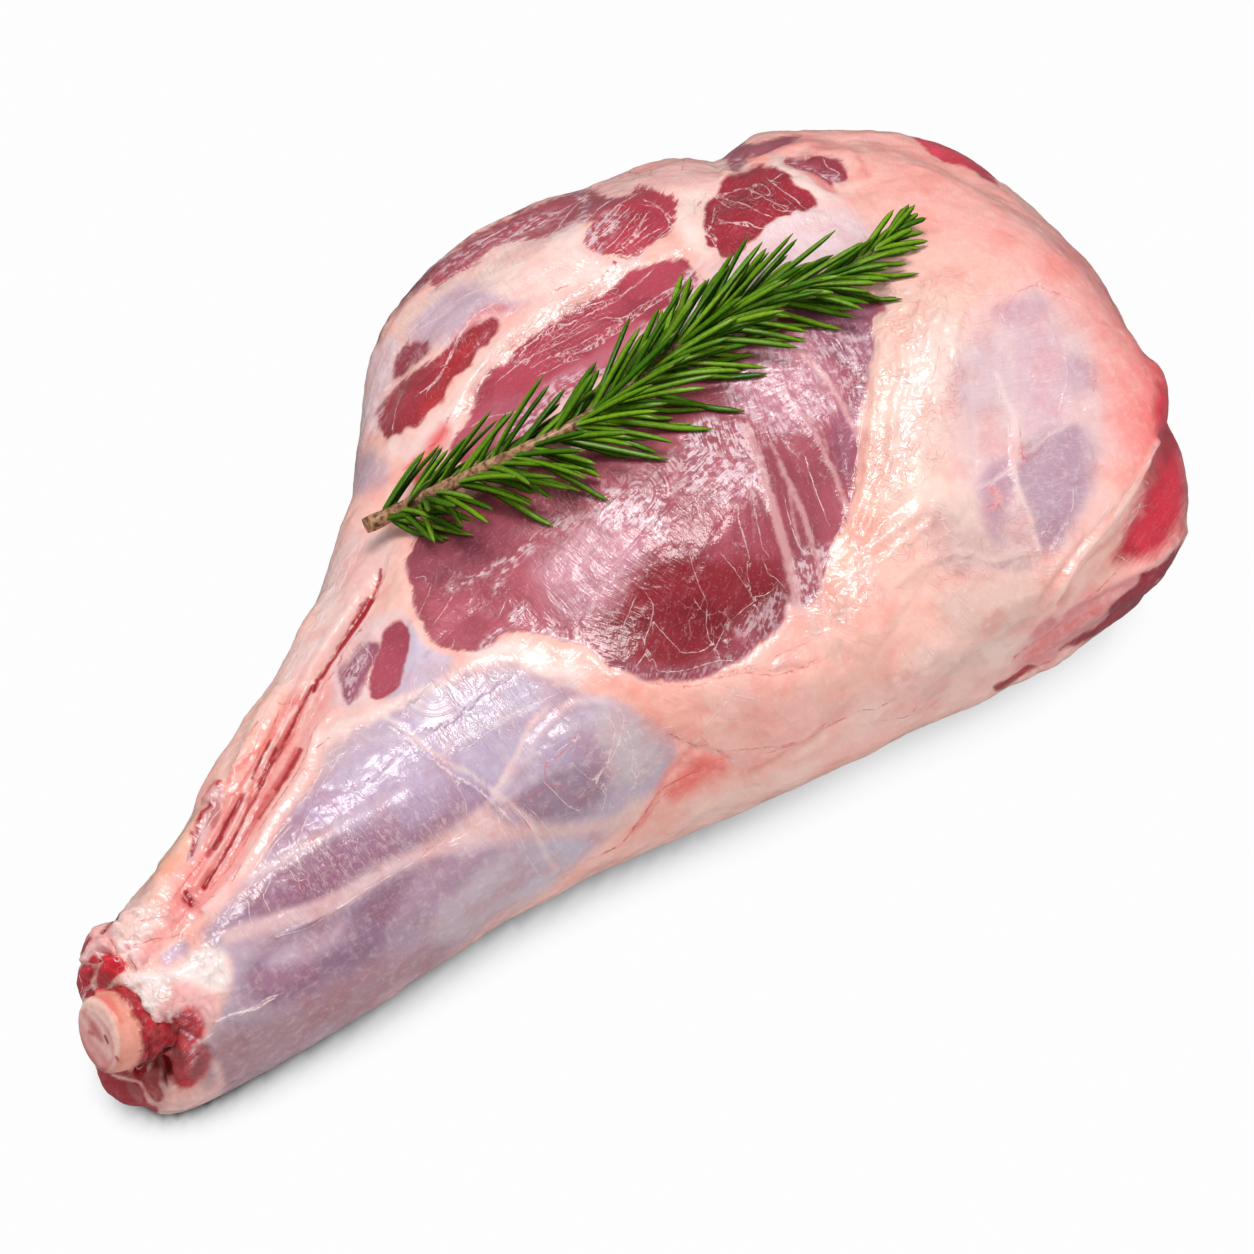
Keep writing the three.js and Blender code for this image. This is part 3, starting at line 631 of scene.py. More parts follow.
        (1151, 448), (1134, 480), (1119, 505), (1098, 528), (1081, 544), (1068, 564), (1052, 584),
        (1035, 606),
    ]),
    # Painted sheen: three pale patches where the fat band glistens.
    area("painted sheen on the band", (252, 222, 214), 0.6, 8, [
        (908, 332), (930, 338), (955, 345), (952, 370), (930, 380), (915, 370),
    ]),
    area("second painted sheen on the band", (252, 222, 214), 0.6, 8, [
        (902, 380), (935, 385), (934, 410), (902, 418), (895, 402),
    ]),
    area("third painted sheen on the band", (252, 222, 214), 0.6, 4.8, [
        (895, 425), (930, 438), (915, 452), (892, 448),
    ]),
    area("peach strip by the striped muscle", (252, 214, 200), 0.6, 9.6, [
        (890, 380), (878, 415), (870, 445), (862, 480), (870, 500), (885, 465), (892, 440), (890, 415),
    ]),
    area("peach low band", (252, 190, 172), 0.7, 16, [
        (835, 535), (870, 500), (885, 510), (870, 540), (852, 572), (830, 590), (820, 565),
    ]),
    band("salmon streak at the shank's end", (246, 116, 104), 0.85, 9.6, 4, [
        (720, 760), (702, 760), (688, 775), (672, 790),
    ]),
    area("pale fan of skin", (242, 210, 200), 0.7, 9.6, [
        (978, 645), (1010, 640), (1025, 635), (1015, 660), (1000, 680), (990, 682), (972, 668),
    ]),
    area("salmon glow", (253, 188, 174), 0.6, 22.4, [
        (865, 650), (890, 630), (905, 645), (890, 665), (865, 670),
    ]),
    area("grey fleck 1", (228, 184, 174), 0.7, 3.6, [(806, 626), (815, 622), (819, 632), (809, 635)]),
    area("grey fleck 2", (228, 184, 174), 0.7, 3.6, [(832, 640), (842, 638), (845, 655), (830, 657)]),
    area("grey fleck 3", (228, 184, 174), 0.7, 3.6, [(833, 610), (847, 606), (845, 618), (836, 620)]),
    area("grey fleck 4", (228, 188, 178), 0.7, 3.6, [
        (928, 658), (965, 650), (990, 658), (965, 668), (931, 665),
    ]),
    area("grey fleck 5", (228, 188, 178), 0.7, 3.6, [(910, 686), (952, 683), (940, 695), (912, 692)]),
    area("red flesh under the bone", (172, 40, 48), 0.85, 3, [
        (103, 1074), (123, 1070), (142, 1078), (154, 1062), (162, 1053), (170, 1059), (166, 1090),
        (154, 1104), (142, 1090), (123, 1078), (110, 1081),
    ]),
    band("pale lip under the bone", (242, 186, 180), 0.9, 1.4, 1.8, [
        (112, 1077), (127, 1080), (139, 1083), (145, 1094), (154, 1103), (168, 1102),
    ]),
    band("pale wall under the bone", (246, 190, 184), 0.9, 1.7, 2.6, [
        (160, 1056), (161, 1073), (162, 1084), (169, 1095),
    ]),
    band("red rim of the rump", (232, 62, 80), 0.75, 8, 6, [
        (1140, 322), (1154, 345), (1164, 372), (1170, 400), (1173, 432),
    ]),
    area("lilac between the shank muscles", (200, 178, 208), 0.5, 14.4, [
        (336, 772), (398, 720), (471, 678), (534, 683), (554, 704), (513, 772), (482, 798), (409, 824),
        (352, 829), (315, 818),
    ]),
    area("lilac under the lower line", (196, 168, 186), 0.5, 14.4, [
        (430, 860), (502, 839), (544, 844), (539, 870), (492, 907), (430, 943), (388, 964), (398, 912),
    ]),
    band("pale line down the knee", (238, 216, 212), 0.75, 2.6, 1.6, [
        (378, 712), (409, 733), (440, 756), (471, 774), (492, 790),
    ]),
    band("pale line across the knee", (242, 212, 206), 0.8, 3.1, 2.2, [
        (544, 709), (523, 740), (508, 772), (492, 790),
    ]),
    band("pale line below the crossing", (240, 216, 212), 0.65, 3.1, 2, [
        (492, 790), (523, 818), (544, 850), (554, 870),
    ]),
    # Painted glint: a bright line along the skin over the shank.
    band("painted glint line over the shank", (240, 228, 232), 0.65, 2.6, 1.5, [
        (445, 751), (490, 727), (520, 712), (544, 699),
    ]),
]

# Lean meat that shows.
LEAN = [
    muscle("centre and striped muscle", (176, 84, 98), 0.5, 1.6, [
        (411, 547), (407, 565), (410, 589), (417, 611), (425, 629), (441, 646), (462, 652), (478, 651),
        (492, 645), (508, 636), (530, 631), (553, 636), (577, 645), (600, 655), (617, 668), (637, 679),
        (658, 682), (681, 681), (706, 676), (729, 667), (750, 655), (770, 640), (783, 620), (790, 604),
        (800, 607), (812, 602), (824, 576), (833, 544), (844, 524), (852, 502), (855, 480), (858, 456),
        (861, 420), (866, 392), (871, 364), (874, 340), (878, 316), (888, 304), (860, 294), (820, 300),
        (780, 315), (740, 340), (700, 365), (660, 392), (630, 425), (590, 445), (540, 462), (490, 485),
        (450, 505), (425, 522),
    ]),
    muscle("knee", (176, 76, 94), 0.3, 0.4, [
        (404, 619), (408, 632), (409, 649), (404, 667), (397, 684), (387, 695), (376, 700), (369, 696),
        (371, 684), (374, 672), (373, 659), (377, 647), (383, 635), (394, 625),
    ]),
    muscle("small knee muscle", (166, 96, 116), 0.6, 1.2, [
        (357, 646), (367, 641), (376, 644), (375, 659), (371, 674), (362, 689), (352, 702), (345, 699),
        (340, 686), (342, 672), (350, 657),
    ]),
    muscle("cushion of lean", (166, 44, 58), 0.25, 0.3, [
        (723, 257), (716, 249), (708, 246), (704, 240), (705, 233), (701, 222), (705, 213), (708, 204),
        (716, 195), (722, 183), (730, 174), (741, 168), (757, 164), (771, 165), (781, 171), (789, 177),
        (798, 186), (809, 195), (818, 203), (820, 207), (812, 211), (803, 213), (795, 210), (788, 217),
        (778, 219), (769, 225), (759, 233), (752, 239), (745, 244), (740, 250), (732, 254),
    ]),
    muscle("little cushion", (176, 66, 84), 0.3, 0.8, [
        (783, 160), (789, 157), (800, 155), (812, 152), (823, 154), (834, 157), (843, 164), (846, 172),
        (843, 179), (835, 182), (830, 180), (833, 188), (827, 186), (818, 179), (809, 172), (798, 166),
        (789, 164),
    ]),
    muscle("muscle on the far edge", (176, 90, 106), 0.5, 1, [
        (716, 145), (732, 144), (753, 143), (775, 140), (800, 136), (791, 143), (778, 148), (764, 154),
        (750, 158), (739, 167), (732, 169), (727, 164), (724, 158), (716, 154),
    ]),
    muscle("muscle behind the top", (222, 72, 92), 0.3, 0.4, [
        (905, 132), (935, 137), (960, 146), (985, 164), (1000, 184), (975, 174), (945, 156),
    ]),
    muscle("upper lean", (186, 62, 78), 0.35, 3, [
        (676, 198), (667, 193), (655, 190), (646, 188), (635, 188), (623, 193), (612, 199), (603, 208),
        (596, 215), (585, 233), (583, 240), (592, 247), (603, 254), (617, 254), (628, 256), (637, 256),
        (646, 248), (657, 240), (669, 233), (673, 227), (676, 215), (673, 208), (677, 204),
    ]),
    muscle("lean along the far edge", (180, 80, 94), 0.6, 2.6, [
        (427, 282), (431, 271), (443, 255), (467, 237), (490, 224), (513, 213), (537, 202), (560, 193),
        (586, 189), (611, 194), (625, 198), (609, 210), (597, 220), (583, 222), (567, 227), (551, 234),
        (527, 240), (504, 243), (490, 250), (478, 259), (467, 269), (450, 278), (434, 287),
    ]),
    muscle("far rim of lean", (150, 60, 74), 0.6, 1, [
        (372, 346), (378, 325), (390, 304), (406, 285), (427, 269), (448, 252), (443, 264), (425, 280),
        (404, 299), (387, 322), (379, 340),
    ]),
    muscle("far lean, small", (164, 66, 84), 0.6, 2.2, [
        (391, 378), (394, 362), (400, 350), (413, 343), (427, 340), (427, 350), (418, 357), (408, 364),
        (401, 374),
    ]),
    muscle("far lean, long", (172, 54, 66), 0.35, 1, [
        (377, 413), (385, 399), (397, 385), (411, 374), (427, 364), (443, 350), (453, 339), (467, 329),
        (481, 323), (492, 320), (499, 324), (496, 334), (488, 346), (477, 350), (471, 362), (462, 369),
        (450, 378), (446, 385), (445, 397), (438, 406), (427, 413), (418, 425), (406, 429), (400, 437),
        (390, 436), (383, 437), (378, 430),
    ]),
    muscle("long band of lean", (188, 72, 90), 0.35, 1.4, [
        (450, 444), (457, 432), (467, 420), (474, 404), (481, 388), (495, 371), (506, 357), (523, 343),
        (537, 332), (555, 320), (574, 308), (597, 297), (611, 285), (630, 271), (651, 264), (672, 259),
        (686, 259), (695, 269), (700, 278), (686, 292), (670, 304), (653, 318), (642, 332), (635, 346),
        (623, 360), (607, 371), (586, 385), (560, 404), (541, 420), (527, 437), (509, 448), (481, 460),
        (453, 460),
    ]),
    muscle("rim muscle", (214, 52, 72), 2.2, 2.5, [
        (1161, 384), (1171, 398), (1176, 417), (1184, 449), (1188, 486), (1186, 516), (1178, 535),
        (1163, 550), (1146, 558), (1122, 563), (1113, 560), (1117, 545), (1129, 523), (1141, 498),
        (1149, 481), (1154, 457), (1158, 437), (1161, 422), (1158, 407),
    ]),
    muscle("muscle below the rim", (164, 48, 66), 0.4, 0.8, [
        (1182, 535), (1179, 555), (1170, 572), (1152, 594), (1138, 609), (1118, 625), (1097, 638),
        (1072, 647), (1060, 651), (1077, 639), (1104, 624), (1114, 607), (1136, 587), (1144, 575),
        (1168, 558),
    ]),
    muscle("lowest edge of lean", (172, 60, 66), 0.3, 0.4, [
        (994, 687), (1008, 677), (1028, 668), (1038, 669), (1018, 681), (998, 690),
    ]),
    muscle("lean at the rim's top", (206, 50, 64), 0.3, 0.2, [
        (1140, 337), (1145, 340), (1152, 354), (1149, 357), (1144, 346),
    ]),
    muscle("end, first lobe", (214, 50, 64), 0.2, 0.2, [
        (75, 972), (82, 966), (89, 968), (92, 975), (89, 984), (84, 991), (81, 999), (76, 996),
        (74, 984),
    ]),
    muscle("end, second lobe", (214, 30, 46), 0.25, 0.2, [
        (97, 960), (103, 955), (110, 953), (119, 956), (126, 962), (125, 969), (119, 974), (113, 979),
        (107, 987), (100, 993), (95, 984), (94, 975), (98, 968),
    ]),
    muscle("end, small lobe", (196, 50, 62), 0.2, 0.2, [
        (87, 963), (92, 955), (97, 960), (95, 965), (91, 965),
    ]),
    muscle("end, low lobe", (206, 44, 56), 0.2, 0.2, [
        (84, 993), (89, 986), (95, 990), (100, 994), (94, 997), (85, 998),
    ]),
    muscle("end, upper edge", (184, 54, 62), 0.25, 0.2, [
        (79, 950), (83, 941), (89, 935), (91, 940), (85, 947), (81, 955),
    ]),
    muscle("end, far line", (150, 40, 44), 0.25, 0.2, [
        (100, 932), (108, 924), (115, 916), (125, 911), (119, 919), (109, 927), (103, 934),
    ]),
    muscle("end, round the bone", (176, 30, 42), 0.2, 0.2, [
        (108, 991), (126, 990), (129, 996), (125, 1001), (131, 1012), (142, 1019), (149, 1028),
        (153, 1040), (157, 1051), (155, 1060), (148, 1063), (147, 1073), (140, 1081), (133, 1075),
        (125, 1068), (119, 1070), (125, 1063), (136, 1053), (133, 1037), (127, 1022), (119, 1007),
        (111, 999),
    ]),
    muscle("end, near muscle", (208, 50, 60), 0.8, 1, [
        (174, 1018), (186, 1006), (197, 1009), (203, 1019), (205, 1029), (202, 1037), (198, 1044),
        (207, 1048), (212, 1059), (208, 1071), (202, 1079), (192, 1088), (182, 1090), (176, 1087),
        (169, 1073), (167, 1063), (170, 1051), (168, 1040), (171, 1031),
    ]),
    muscle("end, beside the wall", (236, 80, 90), 0.4, 0.3, [
        (154, 1026), (163, 1022), (169, 1026), (168, 1037), (169, 1048), (166, 1059), (161, 1051),
        (157, 1038),
    ]),
    muscle("end, lower lobe", (186, 50, 62), 0.3, 0.3, [
        (92, 1068), (106, 1074), (114, 1079), (123, 1081), (137, 1083), (143, 1091), (148, 1103),
        (158, 1110), (150, 1118), (120, 1118), (95, 1106), (86, 1090),
    ]),
    muscle("blot on the tendon", (186, 28, 44), 0.4, 0.5, [
        (183, 897), (189, 897), (194, 903), (191, 907), (186, 905), (182, 901),
    ]),
]

# Lighter and darker parts of the lean, painted over it, among them a painted shadow under the sprig,
# painted shade in the pocket by the bone and painted sheen on the middle.
TONES = [
    area("left lobe", (184, 88, 104), 0.9, 18, [
        (425, 589), (470, 584), (518, 568), (545, 600), (523, 627), (470, 645), (438, 627),
    ]),
    area("shaded top of the left lobe", (150, 70, 88), 0.85, 12, [
        (414, 547), (470, 528), (518, 528), (505, 547), (459, 573), (417, 581),
    ]),
    # Painted sheen: the middle of the lean is made paler.
    area("painted sheen on the middle", (214, 150, 164), 0.85, 24, [
        (587, 525), (617, 528), (641, 547), (630, 579), (609, 605), (577, 616), (550, 600), (539, 573),
        (561, 547),
    ]),
    area("right lobe", (140, 26, 38), 0.95, 22, [
        (611, 611), (630, 589), (649, 568), (665, 552), (691, 549), (723, 552), (745, 544), (769, 549),
        (782, 579), (777, 605), (747, 616), (726, 637), (707, 653), (678, 667), (646, 659), (625, 656),
        (606, 637),
    ]),
    area("upper right lobe", (172, 76, 92), 0.9, 16, [
        (657, 493), (694, 491), (737, 504), (763, 517), (777, 547), (737, 557), (683, 552), (651, 557),
        (659, 528),
    ]),
    band("low edge of the right lobe", (150, 66, 80), 0.8, 10, 6, [
        (619, 661), (657, 675), (705, 669), (745, 651), (777, 621),
    ]),
    # Painted shadow: the lean is darker where the sprig shades it.
    area("painted shadow under the sprig", (160, 92, 116), 0.9, 10, [
        (796, 310), (876, 306), (874, 340), (866, 374), (828, 348), (804, 334),
    ]),
    area("dark heart of the stripes", (172, 84, 98), 0.85, 12, [
        (778, 434), (796, 422), (812, 428), (828, 448), (848, 460), (856, 450), (854, 480), (848, 506),
        (838, 526), (828, 552), (818, 580), (804, 580), (794, 540), (784, 500), (778, 470),
    ]),
    area("right column of the stripes", (164, 96, 118), 0.8, 10, [
        (838, 408), (856, 392), (864, 392), (858, 432), (854, 466), (848, 482), (838, 460), (828, 436),
    ]),
    area("upper part of the stripes", (196, 126, 142), 0.8, 12, [
        (740, 360), (796, 340), (828, 356), (840, 392), (812, 424), (784, 428), (750, 420), (730, 392),
    ]),
    area("near end of the long band", (190, 100, 118), 0.8, 10, [
        (453, 446), (471, 423), (495, 402), (527, 402), (527, 432), (490, 455),
    ]),
    band("low side of the long band", (206, 118, 134), 0.75, 8, 7, [
        (532, 404), (560, 381), (593, 362), (625, 343), (639, 332),
    ]),
    area("bright far lean", (186, 46, 52), 0.8, 6, [
        (439, 385), (443, 362), (462, 343), (476, 334), (467, 355), (450, 376), (439, 404), (420, 411),
    ]),
    area("near muscle's bulb", (206, 78, 82), 0.8, 3, [
        (170, 1053), (177, 1040), (188, 1037), (195, 1050), (192, 1072), (179, 1079), (170, 1066),
    ]),
    area("near muscle's grey bulb", (168, 92, 98), 0.8, 3, [
        (196, 1047), (207, 1049), (211, 1062), (202, 1075), (192, 1081), (189, 1073), (196, 1062),
    ]),
    # Painted shade: a near-black pocket beside the bone.
    area("painted shade in the pocket by the bone", (60, 4, 8), 0.95, 2, [
        (132, 1057), (139, 1048), (143, 1051), (141, 1059), (135, 1062),
    ]),
    area("second lobe's shade", (214, 40, 54), 0.7, 3, [
        (97, 984), (104, 972), (116, 966), (125, 966), (116, 975), (104, 990),
    ]),
    area("lower lobe's grey middle", (190, 110, 112), 0.7, 2, [
        (128, 1083), (137, 1087), (142, 1095), (142, 1104), (134, 1098), (127, 1090),
    ]),
]

# Whitish skin over the lean, which also serves as painted sheen where the lean glistens.
VEIL_AND_SHEEN = [
    # Partly a whitish fat patch, partly painted sheen.
    patch("fat patch and painted sheen over the centre", 0.95, 5, [
        (587, 493), (617, 489), (657, 489), (661, 515), (667, 532), (657, 539), (641, 528), (630, 523),
        (611, 528), (598, 517),
    ]),
    # Partly whitish skin, partly painted sheen.
    patch("top of the centre", 0.5, 10, [
        (630, 480), (670, 456), (697, 443), (737, 440), (761, 461), (766, 493), (739, 503), (707, 493),
        (670, 491), (646, 489),
    ]),
    patch("skin up to the sprig", 0.42, 9, [
        (539, 517), (577, 512), (630, 491), (670, 472), (657, 488), (619, 520), (587, 528), (555, 531),
    ]),
    strip("streak in the left lobe", 0.75, 5, 2.2, [
        (561, 517), (529, 544), (505, 560), (481, 573), (454, 585),
    ]),
    strip("second streak", 0.75, 4, 1.2, [(534, 549), (513, 564), (499, 579), (493, 591)]),
    strip("lower left streaks", 0.75, 6, 4, [(481, 649), (499, 632), (515, 621), (523, 608)]),
    strip("lower streaks", 0.55, 5, 3, [(534, 627), (561, 635), (582, 643), (603, 651)]),
    strip("low margin of the right lobe", 0.3, 7, 6, [
        (627, 672), (670, 675), (710, 669), (745, 653), (771, 629), (786, 600),
    ]),
    patch("web at the right margin", 0.4, 6, [
        (737, 627), (758, 611), (774, 589), (785, 589), (777, 621), (755, 643),
    ]),
    patch("middle of the centre", 0.2, 16, [
        (561, 536), (619, 531), (646, 552), (630, 589), (593, 616), (561, 600), (550, 568),
    ]),
    patch("upper stripes", 0.42, 12, [
        (720, 370), (750, 364), (784, 340), (828, 326), (872, 340), (868, 376), (860, 404), (840, 400),
        (824, 420), (812, 424), (786, 432), (766, 440), (750, 430), (730, 400),
    ]),
    patch("white by the stripes", 0.9, 8, [
        (700, 420), (730, 424), (752, 432), (760, 460), (756, 490), (730, 492), (700, 486), (684, 460),
    ]),
    patch("foot of the stripes", 0.6, 6, [
        (794, 560), (828, 546), (832, 560), (820, 580), (812, 604), (798, 604),
    ]),
    patch("end of the upper lean", 0.6, 6, [
        (580, 247), (589, 227), (605, 211), (623, 215), (612, 238), (601, 256), (628, 261), (646, 251),
        (635, 265), (601, 265),
    ]),
    patch("end of the long band", 0.7, 5, [
        (678, 279), (696, 265), (710, 261), (712, 279), (701, 292), (682, 301), (673, 299),
    ]),
    patch("low side of the long band", 0.65, 8, [
        (527, 409), (555, 385), (583, 371), (618, 360), (644, 327), (630, 367), (583, 399), (551, 423),
        (523, 437), (499, 446),
    ]),
    patch("far edge", 0.45, 8, [
        (443, 259), (481, 237), (518, 222), (551, 208), (560, 215), (527, 231), (490, 245), (460, 262),
        (443, 273),
    ]),
    strip("far edge's end", 0.5, 6, 4, [(579, 192), (586, 210), (574, 224), (553, 234)]),
    patch("far slope", 0.55, 6, [
        (372, 413), (378, 385), (390, 362), (394, 385), (383, 409), (376, 432),
    ]),
    strip("little cushion", 0.45, 5, 3, [(796, 157), (809, 165), (823, 174), (837, 177)]),
    patch("small knee muscle", 0.5, 4, [
        (347, 699), (345, 674), (357, 649), (367, 647), (360, 674), (352, 694),
    ]),
    strip("far edge muscle", 0.5, 6, 4, [(716, 152), (732, 165), (741, 163)]),
    patch("skin over the near muscle", 0.5, 8, [
        (169, 1016), (180, 1011), (193, 1013), (201, 1021), (193, 1026), (180, 1024),
    ]),
    patch("skin over the near muscle's bulb", 0.4, 6, [
        (186, 1039), (193, 1037), (196, 1050), (192, 1065), (187, 1055),
    ]),
    strip("streak over the near muscle", 0.7, 3, 1.5, [(173, 1033), (186, 1035), (200, 1042)]),
]

# Where the fat is lumpy and glistens: lumps in relief, with painted glints along their ridges.
LUMPY = [
    patch("fat band beside the stripes", 1, 14, [
        (876, 310), (950, 310), (960, 420), (920, 480), (880, 500), (864, 460), (872, 380),
    ]),
    patch("fat over the rump's edge", 0.9, 20, [
        (900, 277), (974, 284), (969, 363), (925, 437), (875, 462), (875, 314),
    ]),
    patch("fat at the foot of the stripes", 0.7, 16, [
        (824, 580), (860, 520), (900, 520), (920, 560), (880, 600), (840, 630), (812, 632),
    ]),
    patch("crackled rim of the rump", 0.8, 14, [
        (925, 511), (998, 498), (1072, 523), (1060, 572), (998, 585), (925, 572),
    ]),
    patch("fat band by the long lean", 0.6, 8, [
        (443, 437), (481, 367), (551, 304), (618, 259), (607, 285), (537, 332), (490, 383), (460, 432),
    ]),
    patch("clear skin by the cushion", 0.6, 10, [
        (723, 261), (778, 220), (843, 211), (866, 247), (787, 279), (732, 295),
    ]),
    patch("foot", 1, 14, [
        (104, 912), (192, 890), (221, 949), (221, 1007), (163, 1022), (126, 993), (104, 956),
    ]),
    patch("top of the centre", 0.3, 12, [
        (539, 517), (630, 480), (737, 440), (763, 493), (707, 493), (657, 541), (593, 528),
    ]),
    patch("upper stripes", 0.4, 14, [
        (720, 370), (784, 340), (828, 326), (872, 340), (860, 404), (812, 424), (766, 440), (730, 400),
    ]),
]

# Where a fine white web lies over the meat.
WEBBED = [
    patch("right lobe of the centre", 1, 12, [
        (609, 568), (630, 541), (657, 528), (697, 520), (734, 528), (755, 552), (763, 589), (758, 632),
        (723, 667), (678, 669), (630, 659), (603, 643), (598, 605),
    ]),
    patch("middle of the centre", 0.45, 14, [
        (539, 552), (593, 541), (609, 573), (598, 627), (550, 632), (513, 621), (505, 589),
    ]),
    patch("left lobe of the centre", 0.35, 14, [
        (414, 555), (470, 541), (510, 560), (502, 611), (465, 627), (427, 613), (411, 584),
    ]),
    patch("stripes", 0.6, 12, [
        (766, 392), (812, 364), (852, 384), (876, 440), (872, 510), (848, 566), (812, 580), (804, 520),
        (790, 460),
    ]),
    patch("round muscle by the knee", 0.8, 14, [
        (552, 704), (614, 694), (651, 728), (648, 787), (614, 837), (567, 847), (532, 822), (527, 758),
    ]),
    patch("lower shank", 0.4, 14, [
        (264, 962), (338, 927), (412, 888), (486, 844), (518, 878), (474, 927), (387, 972),
        (301, 1011), (264, 1001),
    ]),
    patch("cushion of lean", 0.9, 8, [
        (716, 236), (712, 205), (722, 182), (752, 172), (786, 188), (800, 212), (780, 232), (750, 246),
    ]),
    patch("small knee muscle", 0.8, 6, [
        (345, 644), (365, 647), (372, 674), (362, 699), (345, 694), (337, 669),
    ]),
    patch("far rim", 0.7, 8, [
        (520, 225), (560, 210), (600, 205), (610, 230), (560, 250), (500, 275), (440, 320), (410, 370),
        (395, 350), (430, 290),
    ]),
    patch("skin by the stem", 0.7, 8, [
        (345, 440), (372, 430), (378, 500), (350, 560), (330, 560), (332, 490),
    ]),
    patch("rump's crackled rim", 0.8, 12, [
        (962, 518), (1003, 513), (1038, 530), (1028, 567), (989, 585), (959, 570),
    ]),
]

# Where the skin has fine wrinkles across the fibres, in relief and with painted glints along them.
WRINKLED = [
    patch("sheen at the knee", 1, 14, [
        (419, 681), (468, 672), (517, 674), (542, 694), (522, 728), (478, 748), (434, 738), (409, 713),
    ]),
    patch("upper shank", 0.6, 14, [
        (294, 846), (363, 814), (437, 784), (466, 797), (437, 844), (375, 878), (318, 898), (289, 878),
    ]),
    patch("lower shank", 0.12, 14, [
        (271, 952), (338, 913), (412, 878), (461, 858), (437, 908), (375, 942), (301, 977),
    ]),
    patch("top of the centre", 0.45, 14, [
        (539, 488), (603, 472), (670, 456), (750, 451), (769, 493), (710, 520), (630, 541), (563, 552),
        (523, 528),
    ]),
    patch("rump", 0.35, 30, [
        (974, 314), (1048, 289), (1097, 338), (1109, 437), (1085, 511), (1023, 523), (974, 486),
        (949, 388),
    ]),
    patch("far skin", 0.5, 14, [
        (397, 320), (467, 273), (527, 241), (583, 250), (560, 287), (490, 320), (420, 362),
    ]),
]

# Fatty stripes over the striped muscle: half width in pixels, and path.
STRIPES = [
    (5, [(746, 428), (758, 458), (766, 486), (776, 516), (785, 546), (791, 570), (796, 592),
         (798, 608)]),
    (2.6, [(786, 392), (796, 408), (808, 420), (818, 438), (826, 456), (834, 472), (840, 488),
           (845, 502), (850, 518)]),
    (3.6, [(784, 340), (800, 350), (814, 364), (826, 378), (838, 396), (846, 412), (855, 428),
           (859, 440)]),
    (2.8, [(780, 464), (788, 480), (796, 496), (804, 514), (809, 532), (815, 550), (820, 568),
           (821, 596)]),
    (1.2, [(772, 444), (780, 460), (788, 480), (791, 500), (795, 524), (800, 546)]),
    (1, [(840, 332), (848, 348), (858, 364), (864, 380)]),
    (0.9, [(828, 452), (824, 436), (820, 424)]),
]
